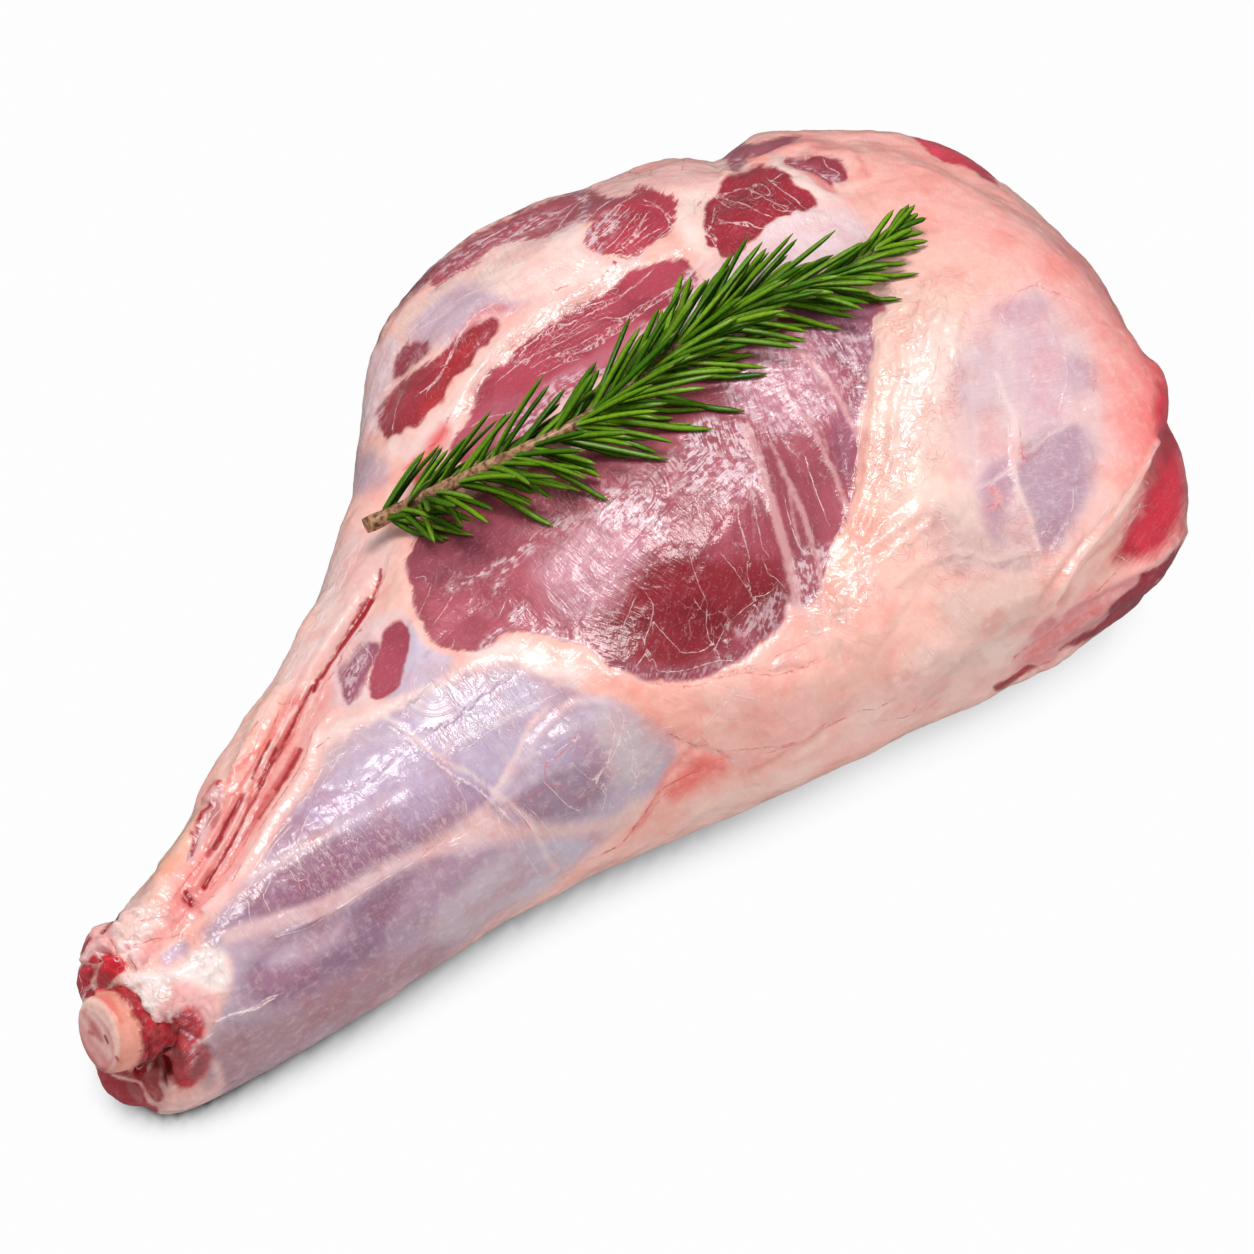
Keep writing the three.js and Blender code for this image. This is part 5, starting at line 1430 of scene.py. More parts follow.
# Small forms of the surface: half width in pixels, rise in millimetres, and path.
FOLDS = [
    (5, -1.5, [(380, 578), (370, 599), (358, 618), (345, 635), (332, 655), (320, 675)]),
    (3.5, -0.9, [(312, 690), (300, 710), (288, 738), (275, 755)]),
    (4, 0.8, [(395, 558), (385, 590), (370, 618), (352, 645), (338, 670), (320, 700)]),
    (5, 0.8, [(358, 595), (340, 625), (320, 655), (300, 690), (282, 720), (265, 755)]),
    (3.5, 0.7, [(270, 765), (258, 790), (245, 818), (230, 842), (212, 870)]),
    (3.5, -0.8, [(250, 802), (238, 825), (228, 845), (216, 865), (205, 885)]),
    (3.5, -0.8, [(240, 800), (228, 825), (215, 848)]),
    (3, 0.6, [(232, 798), (220, 822), (208, 845)]),
    (4, 0.9, [(335, 712), (320, 732), (305, 772), (290, 798), (272, 822), (260, 845), (242, 870),
              (225, 890), (205, 912)]),
    (6, 1, [(280, 692), (260, 720), (245, 752), (232, 780)]),
    (4, 1.2, [(220, 785), (212, 798), (208, 802)]),
    (4, -1, [(222, 802), (208, 820), (192, 850)]),
    (6, 0.9, [(205, 815), (185, 848), (160, 880)]),
    (4, 0.6, [(280, 700), (260, 735), (235, 770)]),
    (9, 0.5, [(320, 738), (374, 713), (434, 686), (483, 662), (513, 659)]),
    (2.6, 0.5, [(389, 728), (411, 743), (431, 760), (453, 776), (476, 789), (495, 805), (510, 820)]),
    (4, 0.3, [(488, 805), (517, 768), (540, 733), (569, 706)]),
    (5, -0.4, [(264, 918), (348, 886), (407, 856), (464, 829)]),
    (2.5, 0.4, [(276, 937), (338, 908), (387, 877), (429, 853)]),
    (2.2, 0.4, [(215, 1021), (252, 1009), (274, 997)]),
    (5, -0.3, [(252, 878), (308, 844), (363, 812), (402, 791)]),
    (3.5, 0.7, [(1156, 442), (1136, 476), (1112, 516), (1077, 558), (1053, 594), (1028, 626),
                (1008, 641)]),
    (3, 0.6, [(1146, 489), (1117, 528), (1087, 560), (1062, 587)]),
    (3.5, -0.6, [(1146, 474), (1124, 506), (1097, 540), (1070, 575), (1048, 604)]),
    (4, -0.9, [(1166, 432), (1149, 476), (1129, 511), (1109, 543), (1072, 585)]),
    (6, 0.9, [(1183, 533), (1163, 553), (1136, 571), (1112, 590), (1087, 597), (1058, 619)]),
    (3.5, -1.2, [(1144, 575), (1122, 585), (1097, 597), (1072, 609), (1038, 631), (1011, 658)]),
    (4, 0.6, [(1122, 592), (1092, 614), (1058, 639), (1023, 661)]),
    (5, 0.4, [(746, 428), (766, 486), (785, 546), (796, 592)]),
    (3, 0.3, [(786, 392), (818, 438), (840, 488), (850, 518)]),
    (3, 0.3, [(780, 464), (804, 514), (820, 568)]),
    (4, -0.6, [(870, 392), (862, 432), (856, 472)]),
    (6, 0.6, [(876, 376), (870, 440), (864, 490), (852, 530)]),
    (5, 0.6, [(892, 420), (890, 460), (876, 500), (866, 540)]),
    (8, 0.6, [(443, 423), (481, 371), (520, 327), (583, 292), (618, 264)]),
    (4, 0.5, [(450, 418), (471, 383), (502, 348), (513, 329)]),
    (6, 0.6, [(687, 247), (705, 256), (719, 279), (723, 292)]),
    (5, 0.6, [(701, 215), (710, 193), (728, 170)]),
    (4, -0.6, [(708, 154), (719, 172), (710, 188)]),
    (6, 0.5, [(778, 165), (805, 188), (830, 202)]),
    (3, 0.5, [(757, 159), (787, 147), (821, 145), (850, 154), (865, 179)]),
    (5, 0.6, [(728, 261), (753, 242), (778, 222), (809, 213)]),
    (4, 0.7, [(687, 156), (694, 152), (701, 154)]),
    (4, 1, [(114, 931), (123, 928), (127, 938)]),
    (4, 0.9, [(123, 916), (136, 912), (151, 913)]),
    (4, 0.9, [(130, 955), (139, 952), (145, 959)]),
    (3, 0.7, [(104, 946), (110, 949)]),
    (3, -0.8, [(127, 949), (130, 960), (139, 972), (148, 960)]),
    (3.5, 0.7, [(163, 912), (174, 919), (186, 908)]),
    (5, 0.8, [(142, 984), (160, 978), (171, 990), (163, 1007)]),
    (3, -0.9, [(130, 1013), (145, 1021), (154, 1034), (160, 1051)]),
    (2, 0.6, [(148, 1023), (157, 1044), (163, 1060), (173, 1085)]),
    (3, -0.7, [(174, 1022), (170, 1037), (169, 1054)]),
    (4, 0.7, [(180, 1044), (189, 1054), (186, 1070)]),
    (3, -0.6, [(199, 1037), (201, 1045), (207, 1048)]),
    (3.5, -1.6, [(133, 1060), (139, 1053), (142, 1048)]),
    (3, 0.6, [(148, 1087), (160, 1092), (166, 1098)]),
    (3, -0.6, [(142, 1081), (147, 1095), (157, 1106)]),
    (4, 0.9, [(1156, 442), (1132, 495), (1095, 540), (1065, 578), (1032, 621)]),
    (3, -0.8, [(1151, 448), (1119, 505), (1081, 544), (1052, 584), (1035, 606)]),
    (3.5, 0.7, [(1118, 535), (1088, 572), (1058, 615)]),
    (3, -0.7, [(1115, 528), (1082, 568), (1060, 602)]),
    (3, 0.4, [(1016, 420), (1012, 465), (1025, 511), (1037, 550)]),
    (3, 0.5, [(945, 555), (970, 554), (995, 562), (1020, 555), (1040, 549)]),
    (4, 0.5, [(862, 535), (885, 505), (902, 488)]),
    (4, 0.5, [(870, 550), (895, 530), (920, 510)]),
    (4, 0.5, [(882, 562), (908, 540), (932, 525)]),
    (4, -0.4, [(866, 542), (890, 518), (911, 499)]),
    (4, -0.4, [(876, 556), (901, 535), (926, 518)]),
    (4, 0.5, [(895, 585), (920, 565), (945, 558)]),
    (4, 0.6, [(925, 290), (920, 310), (915, 325)]),
    (3.5, -0.5, [(932, 292), (928, 315), (922, 332)]),
    (4, 0.6, [(945, 300), (938, 318), (930, 332), (928, 348)]),
    (3.5, -0.5, [(952, 305), (945, 325), (938, 345)]),
    (4, 0.5, [(960, 315), (955, 335), (956, 355)]),
    (4, 0.5, [(902, 348), (905, 370), (900, 390), (895, 420), (892, 452)]),
    (3, -0.5, [(908, 350), (910, 370), (906, 390), (900, 420)]),
    (3, -0.4, [(708, 680), (745, 673), (795, 670), (815, 660)]),
    (3, -0.4, [(812, 738), (840, 720), (875, 708), (892, 700)]),
    (4, 0.5, [(818, 745), (845, 728), (878, 715)]),
    (3, -0.5, [(670, 735), (692, 746), (718, 753), (729, 760)]),
    (3, 0.6, [(1010, 622), (1035, 610), (1055, 590), (1072, 565)]),
    (3, -0.6, [(1015, 660), (1030, 646), (1050, 633), (1065, 618)]),
    (3, 0.4, [(800, 660), (780, 665), (765, 670)]),
    (4, 0.5, [(845, 580), (835, 588)]),
    (3, 0.4, [(788, 655), (778, 665)]),
    (6, 1.3, [(118, 930), (124, 935)]),
    (5, 1.1, [(120, 946), (121, 948)]),
    (6, 1.2, [(134, 958), (138, 958)]),
    (5, 0.9, [(102, 942), (105, 947)]),
    (4, 0.8, [(138, 937), (150, 935)]),
    (8, 1.2, [(106, 971), (112, 963), (118, 960)]),
    (6, 0.9, [(84, 975), (85, 979)]),
    (5, 0.8, [(88, 989), (91, 991)]),
    (2.5, -0.9, [(110, 940), (115, 949)]),
    (2.5, -0.9, [(128, 949), (127, 963), (133, 970)]),
    (2.5, -0.7, [(98, 951), (110, 954), (124, 954)]),
    (2.5, -1, [(84, 964), (93, 969), (94, 977)]),
    (2.5, -1, [(94, 971), (101, 962)]),
    (3, 1, [(110, 995), (116, 1000)]),
    (5, 0.9, [(130, 985), (142, 979)]),
    (5, 1, [(148, 1005), (158, 995), (168, 985)]),
    (4, 0.9, [(128, 1001), (134, 1010)]),
    (5, 1, [(156, 1021), (164, 1025)]),
    (7, 1.3, [(188, 1011), (196, 1019)]),
    (3, -1, [(176, 1028), (186, 1032), (198, 1039)]),
    (7, 1.2, [(183, 1050), (186, 1063)]),
    (5, 1, [(201, 1055), (202, 1063)]),
    (4, -1.2, [(164, 1020), (168, 1030), (164, 1043)]),
    (4, 0.7, [(300, 710), (280, 736), (260, 766), (244, 790)]),
    (3, -0.7, [(288, 732), (270, 770), (250, 802)]),
    (3, 0.7, [(248, 796), (230, 830), (212, 859), (194, 887)]),
    (3, 0.7, [(260, 802), (240, 838), (214, 879)]),
    (3, -0.6, [(244, 804), (228, 832), (212, 854)]),
    (6, 0.8, [(212, 812), (188, 840), (164, 866)]),
    (4, 0.9, [(218, 796), (212, 802)]),
    (4, 0.5, [(738, 788), (796, 759), (840, 723), (887, 704)]),
    (3, -0.4, [(751, 773), (811, 740), (827, 724)]),
    (4, -0.3, [(693, 747), (664, 774), (643, 818)]),
]

# Which way the fibres run, one line for each stretch of the surface.
FLOWS = [
    [(150, 1000), (260, 900), (380, 820), (480, 750), (560, 700)],
    [(205, 1060), (320, 980), (430, 910), (560, 850), (650, 810)],
    [(384, 572), (338, 645), (291, 727), (238, 818), (190, 890), (140, 930)],
    [(340, 520), (300, 640), (235, 740), (190, 850)],
    [(419, 621), (457, 589), (502, 568), (550, 528), (577, 507)],
    [(470, 653), (518, 611), (561, 573), (603, 528)],
    [(614, 659), (630, 611), (657, 568), (683, 533), (710, 507)],
    [(678, 675), (697, 627), (723, 584), (737, 547), (745, 515)],
    [(750, 653), (769, 605), (774, 568), (761, 520)],
    [(776, 340), (786, 392), (818, 438), (840, 488), (850, 518)],
    [(746, 428), (766, 486), (785, 546), (796, 592)],
    [(828, 320), (852, 360), (862, 400), (856, 450)],
    [(886, 330), (880, 392), (872, 460), (860, 530)],
    [(450, 446), (481, 413), (527, 374), (574, 343), (630, 308), (677, 278)],
    [(471, 390), (513, 348), (560, 318), (607, 292), (649, 269)],
    [(420, 432), (450, 402), (481, 371), (513, 327), (551, 304)],
    [(380, 420), (411, 385), (443, 357), (481, 327)],
    [(371, 378), (392, 332), (427, 294), (467, 264), (513, 241), (572, 213)],
    [(583, 249), (608, 217), (635, 193)],
    [(612, 256), (644, 222), (667, 195)],
    [(705, 247), (732, 211), (764, 177)],
    [(700, 160), (760, 150), (830, 150), (900, 145)],
    [(750, 290), (850, 240), (950, 200), (1050, 250), (1120, 350), (1150, 430)],
    [(900, 330), (920, 420), (900, 520), (880, 600)],
    [(1000, 300), (1020, 400), (1040, 500), (1050, 580)],
    [(1180, 470), (1130, 540), (1060, 610), (980, 670)],
    [(600, 690), (700, 740), (800, 700), (900, 650), (960, 600)],
    [(650, 830), (760, 790), (880, 720), (1000, 690)],
    [(372, 699), (384, 662), (402, 622)],
]


def from_screen(colour):
    """A colour given as a screen shows it, from 0 to 255, as the light a shader wants."""
    shown = np.array(colour) / 255
    return np.where(shown < 0.04045, shown / 12.92, ((shown + 0.055) / 1.055) ** 2.4)


def plain(colour, count):
    """The same colour at every spot."""
    return np.tile(from_screen(colour), (count, 1))


# ---------------------------------------------------------------- fields over the skin

# Lengths in pixels of the photograph.
FAR_AWAY = 45.0  # distances beyond this aren't told apart
CURVE_STEPS = 5  # straight pieces between two corners of a smooth line
FADE_INWARD = 0.6  # share of a form's fade that lies inside its outline
LEAN_BLEND = 3.0  # how softly the colours of two leans meet
LEAN_DEPTH = 12.0  # a lean's colour has its full weight from this depth
NO_STREAKS = 0.3  # softness and streaks where there is no lean, in millimetres
THREAD_REACH = 20.0  # how far a thread is looked for
THREAD_SHARE = 0.6  # share of a thread's stated width that is fully its colour
FOLD_REACH = 3  # half widths at which a fold has faded out
FLOW_STEPS = 3  # straight pieces between two corners of a flow
FLOW_TAIL = 50.0  # how far a flow runs on past its ends
FLOW_SHIFT = 400.0  # keeps the streaks of two flows apart
FLOW_SURE = 10.0  # where two flows are this much apart in distance, one rules alone


def rounded(corners, closed, steps=CURVE_STEPS):
    """A smooth line through the corners."""
    corners = np.array(corners, dtype=float)
    count = len(corners)
    if closed:
        before, after, last = np.roll(corners, 1, 0), np.roll(corners, -1, 0), count
        beyond = np.roll(corners, -2, 0)
    else:
        padded = np.vstack([2 * corners[0] - corners[1], corners, 2 * corners[-1] - corners[-2]])
        before, after, beyond, last = padded[:-3], padded[2:-1], padded[3:], count - 1
        corners = padded[1:-2]
    share = np.linspace(0, 1, steps, endpoint=False)[None, :, None]
    b, a, n, f = (line[:last, None] for line in (before, corners, after, beyond))
    bend = 2 * b - 5 * a + 4 * n - f
    twist = 3 * a - b - 3 * n + f
    curve = 0.5 * (2 * a + (n - b) * share + bend * share ** 2 + twist * share ** 3)
    curve = curve.reshape(-1, 2)
    return np.vstack([curve, curve[:1]]) if closed else np.vstack([curve, after[-1:]])


def extended(line, length):
    """The line with a straight piece of this length added at both ends."""
    first, last = line[0] - line[1], line[-1] - line[-2]
    start = line[0] + first * length / np.hypot(*first)
    end = line[-1] + last * length / np.hypot(*last)
    return np.vstack([start, line, end])


def smoothstep(low, high, value):
    share = np.clip((value - low) / (high - low), 0, 1)
    return share * share * (3 - 2 * share)


def near_line(spots, line, reach):
    """Which spots are within reach of a line's own box."""
    low, high = line.min(0) - reach, line.max(0) + reach
    return np.nonzero(((spots > low) & (spots < high)).all(axis=1))[0]


def line_distance(spots, line):
    """From each spot to a line: distance, side (1 or -1) and length along it."""
    best = np.full(len(spots), np.inf)
    side = np.ones(len(spots))
    along = np.zeros(len(spots))
    run = 0.0
    for start, end in zip(line[:-1], line[1:]):
        way = end - start
        length = max(np.hypot(*way), 1e-9)
        offset = spots - start
        share = np.clip(offset @ way / length ** 2, 0, 1)
        away = np.hypot(*(offset - share[:, None] * way).T)
        closer = away < best
        best[closer] = away[closer]
        side[closer] = np.sign(way[0] * offset[closer, 1] - way[1] * offset[closer, 0])
        along[closer] = run + share[closer] * length
        run += length
    return best, side, along


def inside_distance(spots, outline):
    """From each spot to a closed outline in pixels: positive inside, negative outside."""
    line = rounded(outline, True)
    result = np.full(len(spots), -FAR_AWAY)
    chosen = near_line(spots, line, FAR_AWAY)
    local = spots[chosen]
    away, _, _ = line_distance(local, line)
    within = np.zeros(len(local), dtype=bool)
    for (x0, y0), (x1, y1) in zip(line[:-1], line[1:]):
        if y0 != y1:
            crossing = (y0 > local[:, 1]) != (y1 > local[:, 1])
            within ^= crossing & (local[:, 0] < x0 + (local[:, 1] - y0) * (x1 - x0) / (y1 - y0))
    result[chosen] = np.where(within, away, -away)
    return result


def path_depth(spots, path, width):
    """How far inside a band each spot is, in pixels: positive within its half width."""
    line = rounded(path, False)
    result = np.full(len(spots), -FAR_AWAY)
    chosen = near_line(spots, line, FAR_AWAY)
    result[chosen] = width - line_distance(spots[chosen], line)[0]
    return result


def form_depth(spots, form):
    if "outline" in form:
        return inside_distance(spots, form["outline"])
    return path_depth(spots, form["path"], form["width"])


def weight_of(spots, form):
    """How much a soft form covers each spot, from 0 to its amount."""
    fade = form["fade"]
    return form["amount"] * smoothstep(-fade, fade * FADE_INWARD, form_depth(spots, form))


def paint_over(colours, spots, forms):
    for form in forms:
        colours += weight_of(spots, form)[:, None] * (from_screen(form["colour"]) - colours)
    return colours


def paint_lean(spots):
    """The nearest lean's edge (depth into it, softness, streaks, in millimetres) and its colour."""
    edge = np.tile([-FAR_AWAY * PIXEL / MM, NO_STREAKS, NO_STREAKS], (len(spots), 1))
    total = np.zeros((len(spots), 3))
    weights = np.zeros(len(spots))
    for form in LEAN:
        depth = inside_distance(spots, form["outline"])
        closer = depth * PIXEL / MM > edge[:, 0]
        edge[closer, 0] = depth[closer] * PIXEL / MM
        edge[closer, 1:] = form["soft"], form["streaks"]
        weight = np.exp(np.clip(depth, -FAR_AWAY, LEAN_DEPTH) / LEAN_BLEND)
        total += weight[:, None] * from_screen(form["colour"])
        weights += weight
    return edge, paint_over(total / weights[:, None], spots, TONES)


def paint_veil_and_sheen(uneven, spots):
    """How much whitish skin and painted sheen cover the lean, how deep in a fatty stripe, how deep in the
    slit.
    """
    veil = np.max([weight_of(uneven, form) for form in VEIL_AND_SHEEN], axis=0)
    stripe = np.max([path_depth(spots, path, width) for width, path in STRIPES], axis=0)
    slit = np.max([path_depth(spots, path, width) for width, path in SLIT], axis=0)
    return np.stack([veil, stripe * PIXEL / MM, slit * PIXEL / MM], axis=1)


def paint_feel(spots):
    """Where the fat is lumpy, where a fine white web lies over it, and where the skin is wrinkled."""
    return np.stack([
        np.max([weight_of(spots, form) for form in forms], axis=0)
        for forms in (LUMPY, WEBBED, WRINKLED)
    ], axis=1)


def draw_threads(spots, threads):
    """To the nearest thin line: signed distance, plain distance and its half width, in millimetres."""
    best = np.full(len(spots), THREAD_REACH)
    signed = np.full(len(spots), THREAD_REACH)
    width = np.ones(len(spots))
    for half_width, path in threads:
        line = rounded(path, False)
        chosen = near_line(spots, line, THREAD_REACH)
        away, side, _ = line_distance(spots[chosen], line)
        closer = away < best[chosen]
        near = chosen[closer]
        best[near] = away[closer]
        signed[near] = (away * side)[closer]
        width[near] = half_width
    return np.stack([signed, best, THREAD_SHARE * width], axis=1) * PIXEL / MM


def lay_grain(spots):
    """Millimetres across and along the fibres, and how sure their direction is."""
    away = np.full((2, len(spots)), np.inf)
    across = np.zeros(len(spots))
    along = np.zeros(len(spots))
    for number, flow in enumerate(FLOWS):
        line = extended(rounded(flow, False, FLOW_STEPS), FLOW_TAIL)
        distance, side, run = line_distance(spots, line)
        closer = distance < away[0]
        away[1] = np.where(closer, away[0], np.minimum(away[1], distance))
        away[0][closer] = distance[closer]
        across[closer] = (distance * side)[closer]
        along[closer] = run[closer] + FLOW_SHIFT * number
    sure = smoothstep(0, FLOW_SURE, away[1] - away[0])
    return np.stack([across * PIXEL / MM, along * PIXEL / MM, sure], axis=1)


def fold_height(spots):
    """How far the small forms lift the surface, in metres."""
    rise = np.zeros(len(spots))
    for half_width, height, path in FOLDS:
        line = rounded(path, False)
        chosen = near_line(spots, line, FOLD_REACH * half_width)
        away, _, _ = line_distance(spots[chosen], line)
        rise[chosen] += height * MM * np.exp(-(away / half_width) ** 2)
    return rise


# ---------------------------------------------------------------- meshes

LEG_VOXEL = 0.95 * MM
LEG_SMOOTHING = 28  # rounds of smoothing
END_SMOOTHING = 5  # rounds near the sawn end, where small forms stay
END_REACH = (-158 * MM, -140 * MM)  # the sawn end's forms pass into the leg's between these, along X
FAT_RISE = 0.7 * MM  # how far fat stands above lean
FAT_EDGE = (0.4, -2.2)  # where that rise starts and ends, in millimetres into the lean
LUMP_SIZES = (9 * MM, 3.2 * MM)
LUMP_HEIGHTS = (0.35 * MM, 0.16 * MM)
END_LUMP_HEIGHT = 0.2 * MM  # what the small lumps gain at the sawn end
TABLE_CLEARANCE = (1.5 * MM, 9 * MM)  # forms fade in between these heights
SEEN_EDGE = 0.15  # a face is seen from the camera where it turns towards it by about this much
SMALL_FORMS_END = 350.0  # the foot and the tendon lie left of this, in the photograph's pixels
SMALL_FORMS_FADE = 60.0
WANDER_SIZES = (9 * MM, 2.8 * MM)
WANDER = (4.8, 2.0)  # how far drawn outlines stray at each of these sizes, in pixels
WANDER_SEED = 7  # without it, noise vectors would change from run to run
SMALL_FORMS_CALM = 0.75  # share of that straying which the small forms don't have


def get_points(mesh):
    flat = np.empty(len(mesh.vertices) * 3)
    mesh.vertices.foreach_get("co", flat)
    return flat.reshape(-1, 3)


def set_points(mesh, points):
    mesh.vertices.foreach_set("co", points.ravel())
    mesh.update()


def get_normals(mesh):
    flat = np.empty(len(mesh.vertices) * 3)
    mesh.vertex_normals.foreach_get("vector", flat)
    return flat.reshape(-1, 3)


def get_edges(mesh):
    flat = np.empty(len(mesh.edges) * 2, dtype=np.int64)
    mesh.edges.foreach_get("vertices", flat)
    return flat.reshape(-1, 2)


def neighbour_mean(values, edges):
    """For each vertex, the mean of the values at the vertices it shares an edge with."""
    count = np.bincount(edges.ravel(), minlength=len(values))
    total = [
        np.bincount(edges[:, 0], column[edges[:, 1]], len(values))
        + np.bincount(edges[:, 1], column[edges[:, 0]], len(values))
        for column in values.T
    ]
    return np.stack(total, axis=1) / count[:, None]


def copy_of_node(node, name, voxel):
    """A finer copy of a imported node's mesh, made of even faces one voxel wide."""
    piece = bpy.data.objects.new(name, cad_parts[node].data.copy())
    bpy.context.scene.collection.objects.link(piece)
    piece.data.materials.clear()
    remesh = piece.modifiers.new("remesh", "REMESH")
    remesh.mode = "VOXEL"
    remesh.voxel_size = voxel
    graph = bpy.context.evaluated_depsgraph_get()
    mesh = bpy.data.meshes.new_from_object(piece.evaluated_get(graph))
    piece.modifiers.clear()
    piece.data = mesh
    mesh.name = name
    return piece


def store(mesh, name, values):
    """Keeps one number, or three, for each vertex, for the material to read."""
    kind, field = ("FLOAT", "value") if values.ndim == 1 else ("FLOAT_VECTOR", "vector")
    layer = mesh.attributes.new(name, kind, "POINT")
    layer.data.foreach_set(field, values.astype(np.float32).ravel())


def shade_smooth(mesh):
    mesh.polygons.foreach_set("use_smooth", np.ones(len(mesh.polygons), dtype=bool))


def smooth_leg(mesh):
    edges = get_edges(mesh)
    points = get_points(mesh)
    share = smoothstep(*END_REACH, points[:, 0])[:, None]
    for turn in range(LEG_SMOOTHING):
        softer = neighbour_mean(points, edges)
        points = softer if turn < END_SMOOTHING else points + share * (softer - points)
    set_points(mesh, points)


def noise_at(points, size, octaves=3):
    """Smooth noise from about -1 to 1 at each point, with lumps of the given size."""
    return np.array([noise.fractal(Vector(point), 1.0, 2.0, octaves) for point in points / size])


def shape_leg(mesh, spots, edge):
    """Lifts folds and fat above the lean, where the surface is clear of the table."""
    points = get_points(mesh)
    normals = get_normals(mesh)
    clear = smoothstep(*TABLE_CLEARANCE, points[:, 2])
    facing = smoothstep(-SEEN_EDGE, SEEN_EDGE, normals @ CAMERA_BACK)
    fat_rise = FAT_RISE * (smoothstep(*FAT_EDGE, edge) - 0.5)
    near_end = smoothstep(END_REACH[1], END_REACH[0], points[:, 0])
    lumps = LUMP_HEIGHTS[0] * noise_at(points, LUMP_SIZES[0])
    small_height = LUMP_HEIGHTS[1] + END_LUMP_HEIGHT * near_end
    lumps += small_height * noise_at(points, LUMP_SIZES[1], 2)
    rise = facing * (fold_height(spots) + fat_rise) + lumps
    points += normals * (clear * rise)[:, None]
    points[:, 2] = np.maximum(points[:, 2], 0)
    set_points(mesh, points)


def split_small_forms(mesh):
    """Splits the faces of the foot and the tendon, where small forms show."""
    body = bmesh.new()
    body.from_mesh(mesh)
    spots = to_photo(get_points(mesh))
    chosen = (spots[:, 0] < SMALL_FORMS_END) & (get_normals(mesh) @ CAMERA_BACK > -SEEN_EDGE)
    edges = [edge for edge in body.edges if all(chosen[end.index] for end in edge.verts)]
    bmesh.ops.subdivide_edges(body, edges=edges, cuts=2, use_grid_fill=True)
    body.to_mesh(mesh)
    body.free()


def wander(points):
    """Sideways shifts, in pixels, that make the drawn outlines uneven."""
    noise.seed_set(WANDER_SEED)
    shifts = np.zeros((len(points), 2))
    for size, reach in zip(WANDER_SIZES, WANDER):
        shifts += reach * np.array([noise.noise_vector(Vector(point))[:2] for point in points / size])
    return shifts


def make_leg():
    leg = copy_of_node("leg_meat", "leg", LEG_VOXEL)
    mesh = leg.data
    smooth_leg(mesh)
    split_small_forms(mesh)
    points = get_points(mesh)
    spots = to_photo(points)
    small = smoothstep(SMALL_FORMS_END, SMALL_FORMS_END - SMALL_FORMS_FADE, spots[:, 0])[:, None]
    uneven = spots + (1 - SMALL_FORMS_CALM * small) * wander(points)
    edge, lean = paint_lean(uneven)
    store(mesh, "cover", paint_over(plain(PEACH, len(spots)), uneven, COVER))
    store(mesh, "lean", lean)
    store(mesh, "edge", edge)
    store(mesh, "feel", paint_feel(uneven))
    store(mesh, "veil", paint_veil_and_sheen(uneven, spots))
    store(mesh, "threads", draw_threads(spots, THREADS_AND_GLINTS))
    store(mesh, "veins", draw_threads(spots, VEINS))
    store(mesh, "grain", lay_grain(spots))
    shape_leg(mesh, spots, edge[:, 0])
    shade_smooth(mesh)
    return leg


# ---------------------------------------------------------------- rosemary

# Where the stem runs in the photograph, from its cut end to its tip.
STEM_PATH = [
    (368, 527), (425, 500), (488, 468), (545, 442), (590, 417), (640, 380),
    (700, 330), (760, 298), (828, 280), (870, 253), (910, 218),
]
STEM_LIFT = (6.5 * MM, 4.0 * MM)  # height over the meat at the cut end and the tip
STEM_RADIUS = (2.1 * MM, 0.6 * MM)
STEM_STATIONS = 90
STEM_SIDES = 12
WHORLS = 30
# Degrees round the stem from its near side, over the top.
NEEDLE_TURNS = (-22, -6, 8, 26, 48, 126, 146, 163, 180)
BARE_SHARE = 0.85  # share of the upper needles missing at the cut end, where the bark shows
BARE_TURNS = (38, 138)  # turns between these are the upper ones
TIP_THINNING = 0.5  # share of the needles that the tip goes without
TOP_NEEDLE_SHARE = 0.45  # share of the whorls with a needle on top
TOP_TURN = 92
NEEDLE_SPREAD = {"top": 20, "near": 47, "far": 37}  # degrees away from the stem
NEEDLE_LENGTH = (22 * MM, 27 * MM, 7 * MM)  # at the cut end, the middle and the tip
NEEDLE_HALF_WIDTH = 0.88 * MM
NEEDLE_HALF_THICKNESS = 0.6 * MM
NEEDLE_STATIONS = 14
NEEDLE_CLEARANCE = 0.25 * MM
# The needle's section: across its width from -1 to 1, and up in half thicknesses.
NEEDLE_SECTION = [
    (-1, -0.25), (-0.88, 0.4), (-0.55, 0.85), (-0.2, 1.0), (0, 0.9), (0.2, 1.0), (0.55, 0.85), (0.88, 0.4),
    (1, -0.25), (0.72, -0.7), (0.3, -0.4), (0, -0.55), (-0.3, -0.4), (-0.72, -0.7),
]
UP = np.array([0.0, 0.0, 1.0])
ABOVE_ALL = 0.3  # a height over everything, in metres


def ray_through(spot):
    """The way from the camera through a pixel of the photograph."""
    across = (spot[0] - PHOTO / 2) / (LENS / SENSOR * PHOTO)
    down = (spot[1] - PHOTO / 2) / (LENS / SENSOR * PHOTO)
    way = -CAMERA_BACK + across * CAMERA_RIGHT - down * CAMERA_UP
    return way / np.linalg.norm(way)


def surface_under(tree, spot):
    """The point of the meat that a pixel shows, and its normal."""
    eye = CAMERA_AIM + CAMERA_BACK * CAMERA_AWAY
    place, normal, _, _ = tree.ray_cast(Vector(eye), Vector(ray_through(spot)))
    return np.array(place), np.array(normal)


def resample(points, count):
    """Points spaced evenly along a line, and the line's direction at each."""
    steps = np.linalg.norm(np.diff(points, axis=0), axis=1)
    run = np.concatenate([[0], np.cumsum(steps)])
    wanted = np.linspace(0, run[-1], count)
    even = np.stack([np.interp(wanted, run, column) for column in points.T], axis=1)
    return even, unit(np.gradient(even, axis=0))


def unit(vectors):
    return vectors / np.linalg.norm(vectors, axis=-1, keepdims=True)


